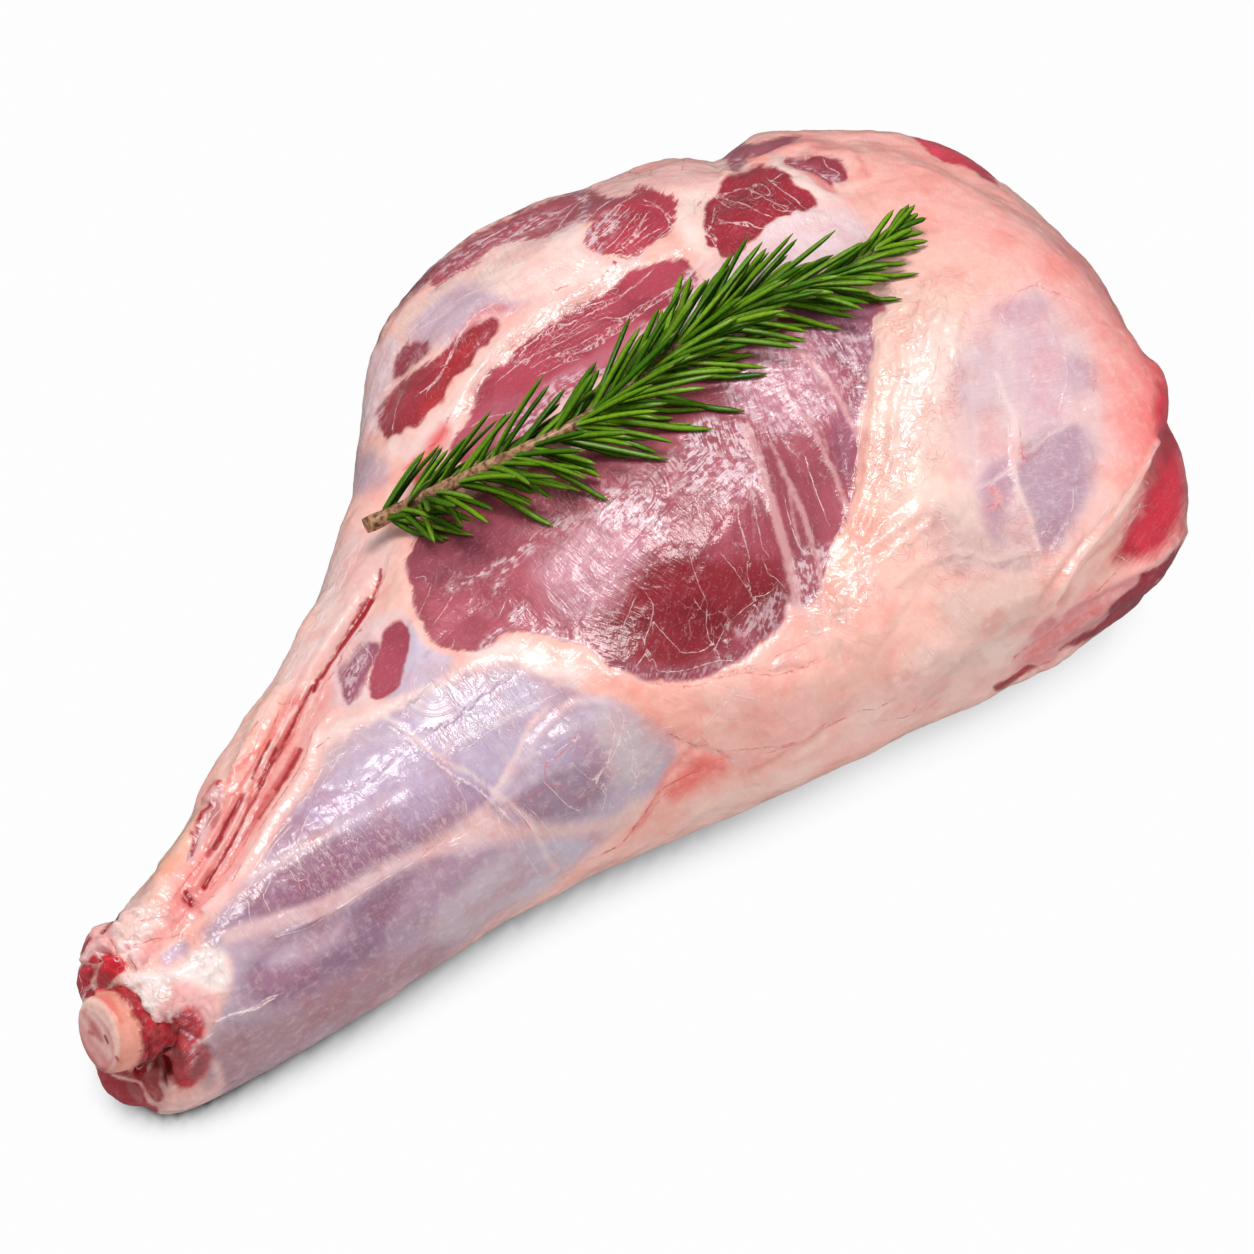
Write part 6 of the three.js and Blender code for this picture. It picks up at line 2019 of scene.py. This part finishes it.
def evened(line, rounds):
    """The line with its inner points drawn towards their neighbours."""
    for _ in range(rounds):
        line[1:-1] = (line[:-2] + 2 * line[1:-1] + line[2:]) / 4
    return line


def stem_line(tree):
    spots = rounded(STEM_PATH, False, 6)
    share = np.linspace(0, 1, len(spots))
    points = []
    for spot, place in zip(spots, share):
        point, normal = surface_under(tree, spot)
        lift = STEM_LIFT[0] + (STEM_LIFT[1] - STEM_LIFT[0]) * place
        points.append(point + CAMERA_BACK * lift / max(normal @ CAMERA_BACK, 0.5))
    return resample(evened(np.array(points), 6), STEM_STATIONS)


def lattice_faces(stations, sides, first):
    """Quads of a tube whose points start at first, with a cap at each end."""
    faces = []
    for station in range(stations - 1):
        for side in range(sides):
            a = first + station * sides + side
            b = first + station * sides + (side + 1) % sides
            faces.append((a, b, b + sides, a + sides))
    faces.append(tuple(first + side for side in reversed(range(sides))))
    faces.append(tuple(first + (stations - 1) * sides + side for side in range(sides)))
    return faces


class Bundle:
    """Collects tubes into one mesh, with numbers kept at each point."""

    def __init__(self):
        self.points = []
        self.faces = []
        self.notes = []

    def add_tube(self, rings, notes):
        stations, sides, _ = rings.shape
        first = sum(len(part) for part in self.points)
        self.points.append(rings.reshape(-1, 3))
        self.notes.append(notes.reshape(-1, 3))
        self.faces += lattice_faces(stations, sides, first)

    def build(self, name, note_name):
        mesh = bpy.data.meshes.new(name)
        mesh.from_pydata(np.concatenate(self.points).tolist(), [], self.faces)
        store(mesh, note_name, np.concatenate(self.notes))
        shade_smooth(mesh)
        piece = bpy.data.objects.new(name, mesh)
        bpy.context.scene.collection.objects.link(piece)
        return piece


def height_over(tree, point):
    """Height of the meat's upper surface below a point."""
    place, _, _, _ = tree.ray_cast(Vector((point[0], point[1], ABOVE_ALL)), Vector(-UP))
    return place[2] if place else 0.0


def tube_rings(line, ways, across, half_widths, half_heights, section):
    high = np.cross(ways, across)
    shape = np.array(section)
    wide = shape[None, :, 0, None] * half_widths[:, None, None] * across[:, None]
    tall = shape[None, :, 1, None] * half_heights[:, None, None] * high[:, None]
    return line[:, None] + wide + tall


def add_stem(bundle, line, ways):
    share = np.linspace(0, 1, STEM_STATIONS)
    radius = STEM_RADIUS[0] + (STEM_RADIUS[1] - STEM_RADIUS[0]) * share
    knots = 1 + 0.16 * np.maximum(0, np.sin(share * WHORLS * math.pi)) ** 4
    across = unit(np.cross(ways, UP))
    turns = np.linspace(0, 2 * math.pi, STEM_SIDES, endpoint=False)
    section = [(math.cos(turn), math.sin(turn)) for turn in turns]
    rings = tube_rings(line, ways, across, radius * knots, radius * knots, section)
    notes = np.zeros((STEM_STATIONS, STEM_SIDES, 3))
    notes[:, :, 0] = -1
    notes[:, :, 1] = share[:, None]
    bundle.add_tube(rings, notes)


def needle_length(place):
    low, middle, tip = NEEDLE_LENGTH
    return middle + ((low if place < 0.5 else tip) - middle) * (2 * place - 1) ** 2


def needle_line(tree, base, along, outward, turn, place, random):
    """The middle of a needle that leaves the stem here and lies clear of the meat."""
    sideways = abs(math.cos(turn))
    widest = NEEDLE_SPREAD["near"] if math.cos(turn) > 0 else NEEDLE_SPREAD["far"]
    spread = NEEDLE_SPREAD["top"] + (widest - NEEDLE_SPREAD["top"]) * sideways
    spread = math.radians(spread * random.uniform(0.65, 1.25) * (1 - 0.5 * place * place))
    way = along * math.cos(spread) + outward * math.sin(spread)
    length = needle_length(place) * random.uniform(0.72, 1.2)
    share = np.linspace(0, 1, NEEDLE_STATIONS)
    bend = random.uniform(-0.05, 0.14) * length
    droop = (0.30 * sideways - 0.10) * length * random.uniform(0.6, 1.3)
    centre = base + way * (length * share)[:, None] + along * (bend * share ** 2)[:, None]
    centre[:, 2] -= droop * share ** 2
    for point in centre:
        floor = height_over(tree, point) + NEEDLE_HALF_THICKNESS + NEEDLE_CLEARANCE
        point[2] = max(point[2], floor)
    return evened(centre, 2)


def needle_notes(share, random):
    """For the material: out from the rib, along from the stem, and a shade, with 2 added underneath."""
    section = np.array(NEEDLE_SECTION)
    notes = np.zeros((NEEDLE_STATIONS, len(section), 3))
    notes[:, :, 0] = np.abs(section[None, :, 0])
    notes[:, :, 1] = share[:, None]
    notes[:, :, 2] = random.random() + np.where(section[None, :, 1] < -0.3, 2.0, 0.0)
    return notes


def add_needle(bundle, tree, stem, place, turn, random):
    """One needle, at a place along the stem and a turn round it: 0 is near, a quarter turn is the top."""
    line, ways = stem
    station = min(int(place * (STEM_STATIONS - 1)), STEM_STATIONS - 1)
    along = ways[station]
    near = unit(np.cross(along, UP))
    upward = np.cross(near, along)
    outward = near * math.cos(turn) + upward * math.sin(turn)
    centre = needle_line(tree, line[station], along, outward, turn, place, random)
    needle_ways = unit(np.gradient(centre, axis=0))
    facing = unit(outward * 0.35 + upward * 0.9 + near * random.uniform(-0.35, 0.35))
    across = unit(np.cross(facing, needle_ways))
    share = np.linspace(0, 1, NEEDLE_STATIONS)
    full = smoothstep(0, 0.18, share) * 0.5 + 0.5
    taper = np.sqrt(np.clip(1 - ((share - 0.72) / 0.28).clip(0, 1) ** 2.2, 0.02, 1))
    half_width = NEEDLE_HALF_WIDTH * random.uniform(0.85, 1.15) * full * taper
    half_height = NEEDLE_HALF_THICKNESS * (0.6 + 0.4 * full) * taper
    rings = tube_rings(centre, needle_ways, across, half_width, half_height, NEEDLE_SECTION)
    bundle.add_tube(rings, needle_notes(share, random))


def make_sprig(tree):
    random = Random(4127)
    stem = stem_line(tree)
    bundle = Bundle()
    add_stem(bundle, *stem)
    for whorl in range(WHORLS):
        top = (TOP_TURN,) if random.random() < TOP_NEEDLE_SHARE else ()
        for turn in NEEDLE_TURNS + top:
            upper = BARE_TURNS[0] < turn < BARE_TURNS[1]
            if upper and random.random() < BARE_SHARE * smoothstep(0.5, 0.2, whorl / WHORLS):
                continue
            place = 0.035 + 0.96 * (whorl + random.uniform(-0.22, 0.22)) / WHORLS
            if random.random() < TIP_THINNING * smoothstep(0.6, 0.95, place):
                continue
            turned = math.radians(turn + random.uniform(-10, 10))
            add_needle(bundle, tree, stem, min(max(place, 0.02), 0.995), turned, random)
    return bundle.build("rosemary", "leaf")


# ---------------------------------------------------------------- shank bone

BONE_VOXEL = 0.45 * MM
BONE_SMOOTHING = 5  # rounds of smoothing
BONE_WAY = np.array([0.95, -0.2, -0.24])  # from the sawn face towards the knee
BONE_MIDDLE = 34 * MM  # height of the bone's axis near the sawn end
FLESH_START = 6.5  # millimetres behind the face where red flesh clings to the bone
FLESH_FADE = 0.7  # how softly it starts, in millimetres
FLESH_RAGGED = 2.2  # how far its edge strays, in millimetres
FLESH_LUMP = 3 * MM
FLESH_RISE = 0.9 * MM


def flesh_reds_with_painted_shade(heights, rough):
    """The clinging flesh, lighter on its lumps, with painted shade that darkens it low under the bone."""
    # Painted shade: the flesh darkens below the bone's axis.
    low = smoothstep(BONE_MIDDLE + 5 * MM, BONE_MIDDLE - 7 * MM, heights)
    light = (1.05 + 0.8 * rough) * (1 - 0.75 * low)
    return from_screen(FLESH_RED) * light.clip(0.1, 2)[:, None]


def make_bone():
    bone = copy_of_node("shank_bone", "bone", BONE_VOXEL)
    mesh = bone.data
    edges = get_edges(mesh)
    points = get_points(mesh)
    for _ in range(BONE_SMOOTHING):
        points = neighbour_mean(points, edges)
    set_points(mesh, points)
    behind = points @ BONE_WAY
    behind = (behind - behind.min()) / MM
    rough = noise_at(points, FLESH_LUMP)
    flesh = smoothstep(FLESH_START - FLESH_FADE, FLESH_START + FLESH_FADE, behind + FLESH_RAGGED * rough)
    flesh = flesh[:, None]
    points = points + get_normals(mesh) * flesh * (FLESH_RISE * (1 + rough))[:, None]
    set_points(mesh, points)
    colours = paint_over(plain(BONE_SIDE, len(points)), to_photo(points), BONE_FORMS)
    store(mesh, "cover", colours + flesh * (flesh_reds_with_painted_shade(points[:, 2], rough) - colours))
    shade_smooth(mesh)
    return bone


# ---------------------------------------------------------------- materials

class Nodes:
    """Adds shader nodes to a material and joins them."""

    def __init__(self, name):
        self.material = bpy.data.materials.new(name)
        self.material.use_nodes = True
        self.tree = self.material.node_tree
        self.shader = self.tree.nodes["Principled BSDF"]

    def put(self, socket, value):
        if isinstance(value, bpy.types.NodeSocket):
            self.tree.links.new(value, socket)
        else:
            socket.default_value = value

    def add(self, kind, settings=None, **inputs):
        node = self.tree.nodes.new(kind)
        for key, value in (settings or {}).items():
            setattr(node, key, value)
        for key, value in inputs.items():
            self.put(node.inputs[key], value)
        return node

    def math(self, operation, *values):
        node = self.add("ShaderNodeMath", {"operation": operation})
        for socket, value in zip(node.inputs, values):
            self.put(socket, value)
        return node.outputs[0]

    def times(self, *values):
        """The product of all the values."""
        product = values[0]
        for value in values[1:]:
            product = self.math("MULTIPLY", product, value)
        return product

    def swing(self, noise, *shares):
        """How far a noise is above or below its middle, times the shares."""
        return self.times(self.math("SUBTRACT", noise, 0.5), *shares)

    def crease(self, noise, width):
        """1 where a noise crosses its middle, and 0 beyond the width."""
        return self.ramp(self.math("ABSOLUTE", self.swing(noise)), width, 0.0)

    def attribute(self, name, output="Vector"):
        return self.add("ShaderNodeAttribute", {"attribute_name": name}).outputs[output]

    def split(self, name):
        """The three numbers that are stored at each point under one name."""
        node = self.add("ShaderNodeSeparateXYZ", Vector=self.attribute(name))
        return [node.outputs[axis] for axis in "XYZ"]

    def place(self):
        return self.add("ShaderNodeTexCoord").outputs["Object"]

    def noise(self, place, scale, detail, roughness=0.55, distortion=0.0):
        node = self.add(
            "ShaderNodeTexNoise",
            Vector=place,
            Scale=scale,
            Detail=detail,
            Roughness=roughness,
            Distortion=distortion,
        )
        return node.outputs["Fac"]

    def ramp(self, value, low, high, out_low=0.0, out_high=1.0):
        """A smooth step of a value between low and high."""
        node = self.add("ShaderNodeMapRange", {"interpolation_type": "SMOOTHSTEP"}, Value=value)
        limits = {"From Min": low, "From Max": high, "To Min": out_low, "To Max": out_high}
        for name, number in limits.items():
            self.put(node.inputs[name], number)
        return node.outputs["Result"]

    def mix(self, share, first, second, blend="MIX"):
        node = self.add("ShaderNodeMix", {"data_type": "RGBA", "blend_type": blend})
        self.put(node.inputs["Factor"], share)
        for name, value in (("A", first), ("B", second)):
            socket = next(s for s in node.inputs if s.name == name and s.type == "RGBA")
            self.put(socket, value if isinstance(value, bpy.types.NodeSocket) else (*value, 1.0))
        return next(s for s in node.outputs if s.type == "RGBA")

    def tint(self, colour, share, other, blend="MIX"):
        """The colour with a share of another, which is given as a screen shows it."""
        return self.mix(share, colour, tuple(from_screen(other)), blend)

    def bump(self, height, distance):
        return self.add("ShaderNodeBump", Height=height, Distance=distance).outputs["Normal"]

    def set(self, **constants):
        """Sets constants on the shader's own sockets."""
        for key, value in constants.items():
            self.shader.inputs[key.replace("_", " ")].default_value = value


def line_share(nodes, name, wobble, softness):
    """How much a thin line shows at a point, from its stored distances."""
    signed, away, half_width = nodes.split(name)
    outside = nodes.math("SUBTRACT", nodes.math("ABSOLUTE", nodes.math("ADD", signed, wobble)), half_width)
    return nodes.times(nodes.ramp(outside, softness, -softness), nodes.ramp(away, 1.9, 1.2))


def meat_fields(nodes):
    """The noises and stored numbers that the meat's colour and relief share."""
    place = nodes.place()
    across, along, sure = nodes.split("grain")
    fibre_place = nodes.add("ShaderNodeCombineXYZ", X=across, Y=nodes.times(along, 0.16))
    cross_place = nodes.add("ShaderNodeCombineXYZ", X=nodes.times(across, 0.22), Y=nodes.times(along, 0.8))
    meat = SimpleNamespace(place=place, sure=sure)
    meat.fibres = nodes.noise(fibre_place.outputs[0], 1.3, 2, 0.7, 0.5)
    meat.crossed = nodes.noise(cross_place.outputs[0], 1.0, 1, 0.5, 1.0)
    meat.mottle = nodes.noise(place, 90, 2)
    meat.fine = nodes.noise(place, 420, 2, 0.65)
    meat.tiny = nodes.noise(place, 1500, 1, 0.6)
    meat.curly = nodes.noise(place, 380, 0, 0.5, 0.9)
    meat.veil, meat.stripe, meat.slit = nodes.split("veil")
    meat.lumpy, meat.webbed, meat.wrinkled = nodes.split("feel")
    meat.wobble = nodes.swing(meat.fine, 0.9)
    return meat


def add_white_lines(nodes, meat):
    """Adds the ridges, folds, web and threads that show in colour and in relief; in colour, the ridges,
    folds and some threads are painted glints.
    """
    patches = nodes.ramp(meat.mottle, 0.35, 0.6, 0.1, 1.0)
    meat.ridge = nodes.times(nodes.crease(meat.curly, 0.035), meat.lumpy, patches)
    meat.fold = nodes.times(nodes.crease(meat.crossed, 0.06), meat.wrinkled, meat.sure)
    web_place = nodes.add("ShaderNodeVectorMath", {"operation": "ADD"}, Vector=meat.place)
    nodes.put(web_place.inputs[1], nodes.times(meat.fine, 0.004))
    cells = nodes.add(
        "ShaderNodeTexVoronoi", {"feature": "DISTANCE_TO_EDGE"}, Vector=web_place.outputs[0], Scale=210.0
    )
    web = nodes.times(nodes.ramp(cells.outputs["Distance"], 0.04, 0.0), nodes.ramp(meat.mottle, 0.45, 0.62))
    meat.web = nodes.times(web, meat.webbed, nodes.ramp(meat.fine, 0.35, 0.6))
    broken = nodes.ramp(meat.fine, 0.38, 0.58, 0.25, 1.0)
    # Threads and painted glints, broken into dashes.
    meat.thread = nodes.times(line_share(nodes, "threads", meat.wobble, 0.12), broken)


def lean_share(nodes, meat):
    """How much of the lean shows, with a ragged edge that fat streaks into along the fibres."""
    depth, softness, streaks = nodes.split("edge")
    ragged = nodes.math("ADD", depth, nodes.swing(meat.fine, 1.1))
    ragged = nodes.math("ADD", ragged, nodes.times(nodes.swing(meat.fibres, meat.sure), streaks, 1.7))
    softness = nodes.math("ADD", softness, 0.25)
    return nodes.ramp(ragged, nodes.times(softness, -1.0), softness)


def fat_colour(nodes, meat):
    fibres = nodes.times(nodes.ramp(meat.fibres, 0.5, 0.8, 0.0, 0.14), meat.sure)
    mottle = nodes.ramp(meat.mottle, 0.42, 0.7, 0.0, 0.34)
    colour = nodes.tint(nodes.attribute("cover"), mottle, (246, 176, 168), "MULTIPLY")
    colour = nodes.tint(colour, nodes.ramp(meat.fine, 0.45, 0.8, 0.0, 0.2), (255, 240, 232))
    return nodes.tint(colour, fibres, (255, 236, 230))


def lean_colour(nodes, meat):
    fibres = nodes.times(nodes.ramp(meat.fibres, 0.52, 0.8, 0.0, 0.28), meat.sure)
    mottle = nodes.ramp(meat.mottle, 0.35, 0.7, 0.0, 0.34)
    colour = nodes.tint(nodes.attribute("lean"), mottle, (140, 90, 96), "MULTIPLY")
    colour = nodes.tint(colour, fibres, (220, 140, 150))
    # Tiny pale flecks: partly specks in the lean, partly painted glints.
    return nodes.tint(colour, nodes.ramp(meat.tiny, 0.62, 0.75, 0.0, 0.25), (230, 170, 176))


def add_skins_and_sheen(nodes, meat, colour):
    """The whitish skin over the lean, which is also painted sheen, and the fatty stripes."""
    # Painted sheen and whitish skin, streaked along the fibres.
    fibrous = nodes.ramp(nodes.math("ADD", meat.fibres, meat.fine), 0.92, 1.16, 0.05, 1.2)
    skin = nodes.math("MINIMUM", nodes.times(meat.veil, fibrous), 0.8)
    colour = nodes.tint(colour, skin, (240, 212, 220))
    stripe = nodes.math("ADD", meat.stripe, nodes.times(meat.wobble, 1.8))
    return nodes.tint(colour, nodes.ramp(stripe, -0.6, 0.7, 0.0, 0.6), (232, 182, 182))


def add_lines(nodes, meat, colour):
    """Red veins, then the white lines and painted glints, then the slit along the tendon."""
    broken = nodes.ramp(meat.fine, 0.38, 0.62, 0.1, 0.75)
    vein = nodes.times(line_share(nodes, "veins", meat.wobble, 0.16), broken)
    colour = nodes.tint(colour, vein, (214, 76, 78))
    white = nodes.math("MAXIMUM", nodes.times(meat.thread, 0.7), nodes.times(meat.web, 0.42))
    # Painted glints: the ridges and folds are made whitish in colour as well as raised.
    painted_glints = nodes.times(nodes.math("MAXIMUM", meat.ridge, meat.fold), 0.5)
    colour = nodes.tint(colour, nodes.math("MAXIMUM", white, painted_glints), (250, 222, 222))
    slit = nodes.math("ADD", meat.slit, nodes.times(meat.wobble, 1.4))
    return nodes.tint(colour, nodes.ramp(slit, -0.5, 0.4), (168, 30, 42))


def meat_relief(nodes, meat):
    """The normal of the meat's finest relief; each part's rise is in millimetres."""
    parts = [
        (nodes.times(meat.crossed, meat.sure), 0.16),
        (nodes.times(meat.fibres, meat.sure), 0.05),
        (nodes.noise(meat.place, 170, 0, 0.4, 0.4), 0.32),
        (nodes.times(nodes.noise(meat.place, 330, 0, 0.4, 0.6), meat.lumpy), 0.6),
        (meat.curly, 0.12),
        (meat.tiny, 0.05),
        (meat.ridge, 0.14),
        (meat.fold, 0.12),
        (meat.web, 0.05),
        (meat.thread, 0.1),
    ]
    height = 0.0
    for part, rise in parts:
        height = nodes.math("MULTIPLY_ADD", part, rise, height)
    return nodes.bump(height, MM)


def meat_material():
    nodes = Nodes("meat")
    meat = meat_fields(nodes)
    add_white_lines(nodes, meat)
    colour = nodes.mix(lean_share(nodes, meat), fat_colour(nodes, meat), lean_colour(nodes, meat))
    colour = add_skins_and_sheen(nodes, meat, colour)
    colour = add_lines(nodes, meat, colour)
    normal = meat_relief(nodes, meat)
    nodes.put(nodes.shader.inputs["Base Color"], colour)
    nodes.put(nodes.shader.inputs["Normal"], normal)
    nodes.put(nodes.shader.inputs["Coat Normal"], normal)
    nodes.set(Roughness=0.34, Coat_Weight=0.52, Coat_Roughness=0.11)
    nodes.set(Subsurface_Weight=0.12, Subsurface_Radius=(4 * MM, 1.5 * MM, 1 * MM), Subsurface_Scale=1.0)
    return nodes.material


def needle_colour(nodes, place, across, along, shade):
    """Green with a pale rib that is also a painted highlight, edges darkened as painted shade, a yellow
    foot and tip, and a greyer underside.
    """
    tone = nodes.math("FRACT", shade)
    colour = nodes.mix(tone, tuple(from_screen((56, 104, 2))), tuple(from_screen((118, 160, 20))))
    colour = nodes.tint(colour, nodes.ramp(nodes.noise(place, 900, 3), 0.35, 0.75, 0, 0.4), (20, 62, 0))
    # Painted shade: the needle's edges, where they curve under, are darkened.
    colour = nodes.tint(colour, nodes.ramp(across, 0.45, 0.95, 0.0, 0.85), (12, 40, 0))
    # The pale rib: partly the needle's midrib, partly a painted highlight along it.
    rib = nodes.times(nodes.ramp(across, 0.14, 0.0), nodes.ramp(tone, 0.1, 0.9, 0.1, 0.6))
    colour = nodes.tint(colour, rib, (158, 190, 84))
    colour = nodes.tint(colour, nodes.ramp(along, 0.9, 1.0, 0.0, 0.35), (130, 120, 50))
    colour = nodes.tint(colour, nodes.ramp(along, 0.16, 0.0, 0.0, 0.75), (170, 196, 110))
    return nodes.tint(colour, nodes.ramp(shade, 1.4, 1.8, 0.0, 0.7), (150, 170, 120))


def bark_colour(nodes, place, along):
    """Brown bark that turns green towards the tip."""
    flecks = nodes.ramp(nodes.noise(place, 700, 4), 0.3, 0.7)
    colour = nodes.mix(flecks, tuple(from_screen((94, 62, 42))), tuple(from_screen((192, 146, 112))))
    return nodes.tint(colour, nodes.ramp(along, 0.6, 0.95), (120, 140, 60))


def rosemary_material():
    """Needles and stem: across is below zero on the stem alone."""
    nodes = Nodes("rosemary")
    place = nodes.place()
    across, along, shade = nodes.split("leaf")
    bark = bark_colour(nodes, place, along)
    green = needle_colour(nodes, place, across, along, shade)
    nodes.put(nodes.shader.inputs["Base Color"], nodes.mix(nodes.ramp(across, -0.6, -0.4), bark, green))
    nodes.put(nodes.shader.inputs["Roughness"], nodes.ramp(nodes.noise(place, 300, 3), 0.3, 0.7, 0.2, 0.3))
    nodes.put(nodes.shader.inputs["Normal"], nodes.bump(nodes.noise(place, 1500, 2), 0.03 * MM))
    nodes.set(Specular_IOR_Level=0.22)
    return nodes.material


def bone_material():
    nodes = Nodes("bone")
    place = nodes.place()
    flecks = nodes.ramp(nodes.noise(place, 420, 4), 0.4, 0.7, 0.0, 0.3)
    colour = nodes.tint(nodes.attribute("cover"), flecks, (206, 116, 112))
    nodes.put(nodes.shader.inputs["Base Color"], colour)
    nodes.put(nodes.shader.inputs["Normal"], nodes.bump(nodes.noise(place, 900, 3), 0.15 * MM))
    nodes.set(Roughness=0.32)
    return nodes.material


# ---------------------------------------------------------------- stage and light

FLOOR_HALF = 6.0  # half the floor's side, in metres
FLOOR_STEP = 2.6 * MM  # between its points near the leg
FLOOR_FINE = (0.23, 0.16)  # how far that fine part reaches along X and Y, in metres
FLOOR_LIGHT = 0.985
OVER_FLOOR = 0.2 * MM  # height from which rays start
SHADE_REACH = 45 * MM  # what is further off doesn't shade the floor
SHADE_RAYS = 36
GOLDEN_TURN = math.pi * (3 - math.sqrt(5))


def sky_rays():
    """Directions spread evenly over a lit half sphere."""
    rays = []
    for number in range(SHADE_RAYS):
        out = math.sqrt((number + 0.5) / SHADE_RAYS)
        turn = number * GOLDEN_TURN
        rays.append(Vector((out * math.cos(turn), out * math.sin(turn), math.sqrt(1 - out * out))))
    return rays


def closed_share(tree, place, rays):
    """How much the leg closes off the light over a point of the floor, nearer parts more."""
    if tree.find_nearest(place, SHADE_REACH)[0] is None:
        return 0.0
    roof = tree.ray_cast(place, Vector(UP))[1]
    if roof is not None and roof.z > 0:
        return 1.0
    hits = [tree.ray_cast(place, ray, SHADE_REACH)[3] for ray in rays]
    return sum((1 - away / SHADE_REACH) ** 2 for away in hits if away is not None) / SHADE_RAYS


def floor_line(fine):
    """Places along one side of the floor: fine steps near the leg, and its two ends."""
    return [-FLOOR_HALF, *np.arange(-fine, fine, FLOOR_STEP), FLOOR_HALF]


def floor_mesh():
    across, back = (floor_line(fine) for fine in FLOOR_FINE)
    wide = len(across)
    corners = [row * wide + column for row in range(len(back) - 1) for column in range(wide - 1)]
    faces = [(first, first + 1, first + wide + 1, first + wide) for first in corners]
    mesh = bpy.data.meshes.new("floor")
    mesh.from_pydata([(x, y, 0.0) for y in back for x in across], [], faces)
    return mesh


def floor_material():
    """Light of its own, so that the floor is even, with a painted shadow that darkens it where the leg
    closes it off.
    """
    nodes = Nodes("floor")
    nodes.set(Base_Color=(0, 0, 0, 1), Specular_IOR_Level=0.0, Emission_Color=(1, 1, 1, 1))
    # Painted shadow: the floor's own light dims where the leg closes it off.
    light = nodes.ramp(nodes.attribute("closed", "Fac"), 0.14, 0.97, FLOOR_LIGHT, 0.0)
    nodes.put(nodes.shader.inputs["Emission Strength"], light)
    return nodes.material


def make_floor(tree):
    """A pale floor with a soft painted shadow where the leg closes off the light."""
    mesh = floor_mesh()
    rays = sky_rays()
    starts = get_points(mesh) + UP * OVER_FLOOR
    store(mesh, "closed", np.array([closed_share(tree, Vector(start), rays) for start in starts]))
    mesh.materials.append(floor_material())
    floor = bpy.data.objects.new("floor", mesh)
    bpy.context.scene.collection.objects.link(floor)
    floor.visible_glossy = False


LIT_POINT = Vector((0, 0, 0.04))  # what every light is aimed at


def make_light(name, place, size, power, glossy=True):
    """A soft square light aimed at the leg; glossy says if wet surfaces mirror it."""
    data = bpy.data.lights.new(name, "AREA")
    data.size = size
    data.energy = power
    light = bpy.data.objects.new(name, data)
    light.location = place
    light.rotation_euler = (LIT_POINT - Vector(place)).to_track_quat("-Z", "Y").to_euler()
    light.visible_glossy = glossy
    bpy.context.scene.collection.objects.link(light)


def make_world(strength):
    world = bpy.data.worlds.new("studio")
    world.use_nodes = True
    background = world.node_tree.nodes["Background"]
    background.inputs["Color"].default_value = (1, 1, 1, 1)
    background.inputs["Strength"].default_value = strength
    bpy.context.scene.world = world


# ---------------------------------------------------------------- the scene

make_camera()
make_world(0.12)
make_light("key", (-0.02, 0.02, 1.35), 0.5, 11.0)
make_light("far side", (-1.0, 1.0, 0.5), 0.8, 4.0, False)
make_light("ceiling", (-0.4, 0.5, 1.5), 1.4, 7.0, False)
make_light("front", (0.25, -1.3, 0.75), 1.0, 9.0, False)
bpy.context.scene.view_settings.view_transform = "Standard"

leg = make_leg()
leg.data.materials.append(meat_material())
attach(leg, "root")
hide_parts("leg_meat")

bone = make_bone()
bone.data.materials.append(bone_material())
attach(bone, "root")
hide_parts("shank_bone")

tree = BVHTree.FromObject(leg, bpy.context.evaluated_depsgraph_get())
make_floor(tree)
sprig = make_sprig(tree)
sprig.data.materials.append(rosemary_material())
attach(sprig, "root")
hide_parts("rosemary_sprig")
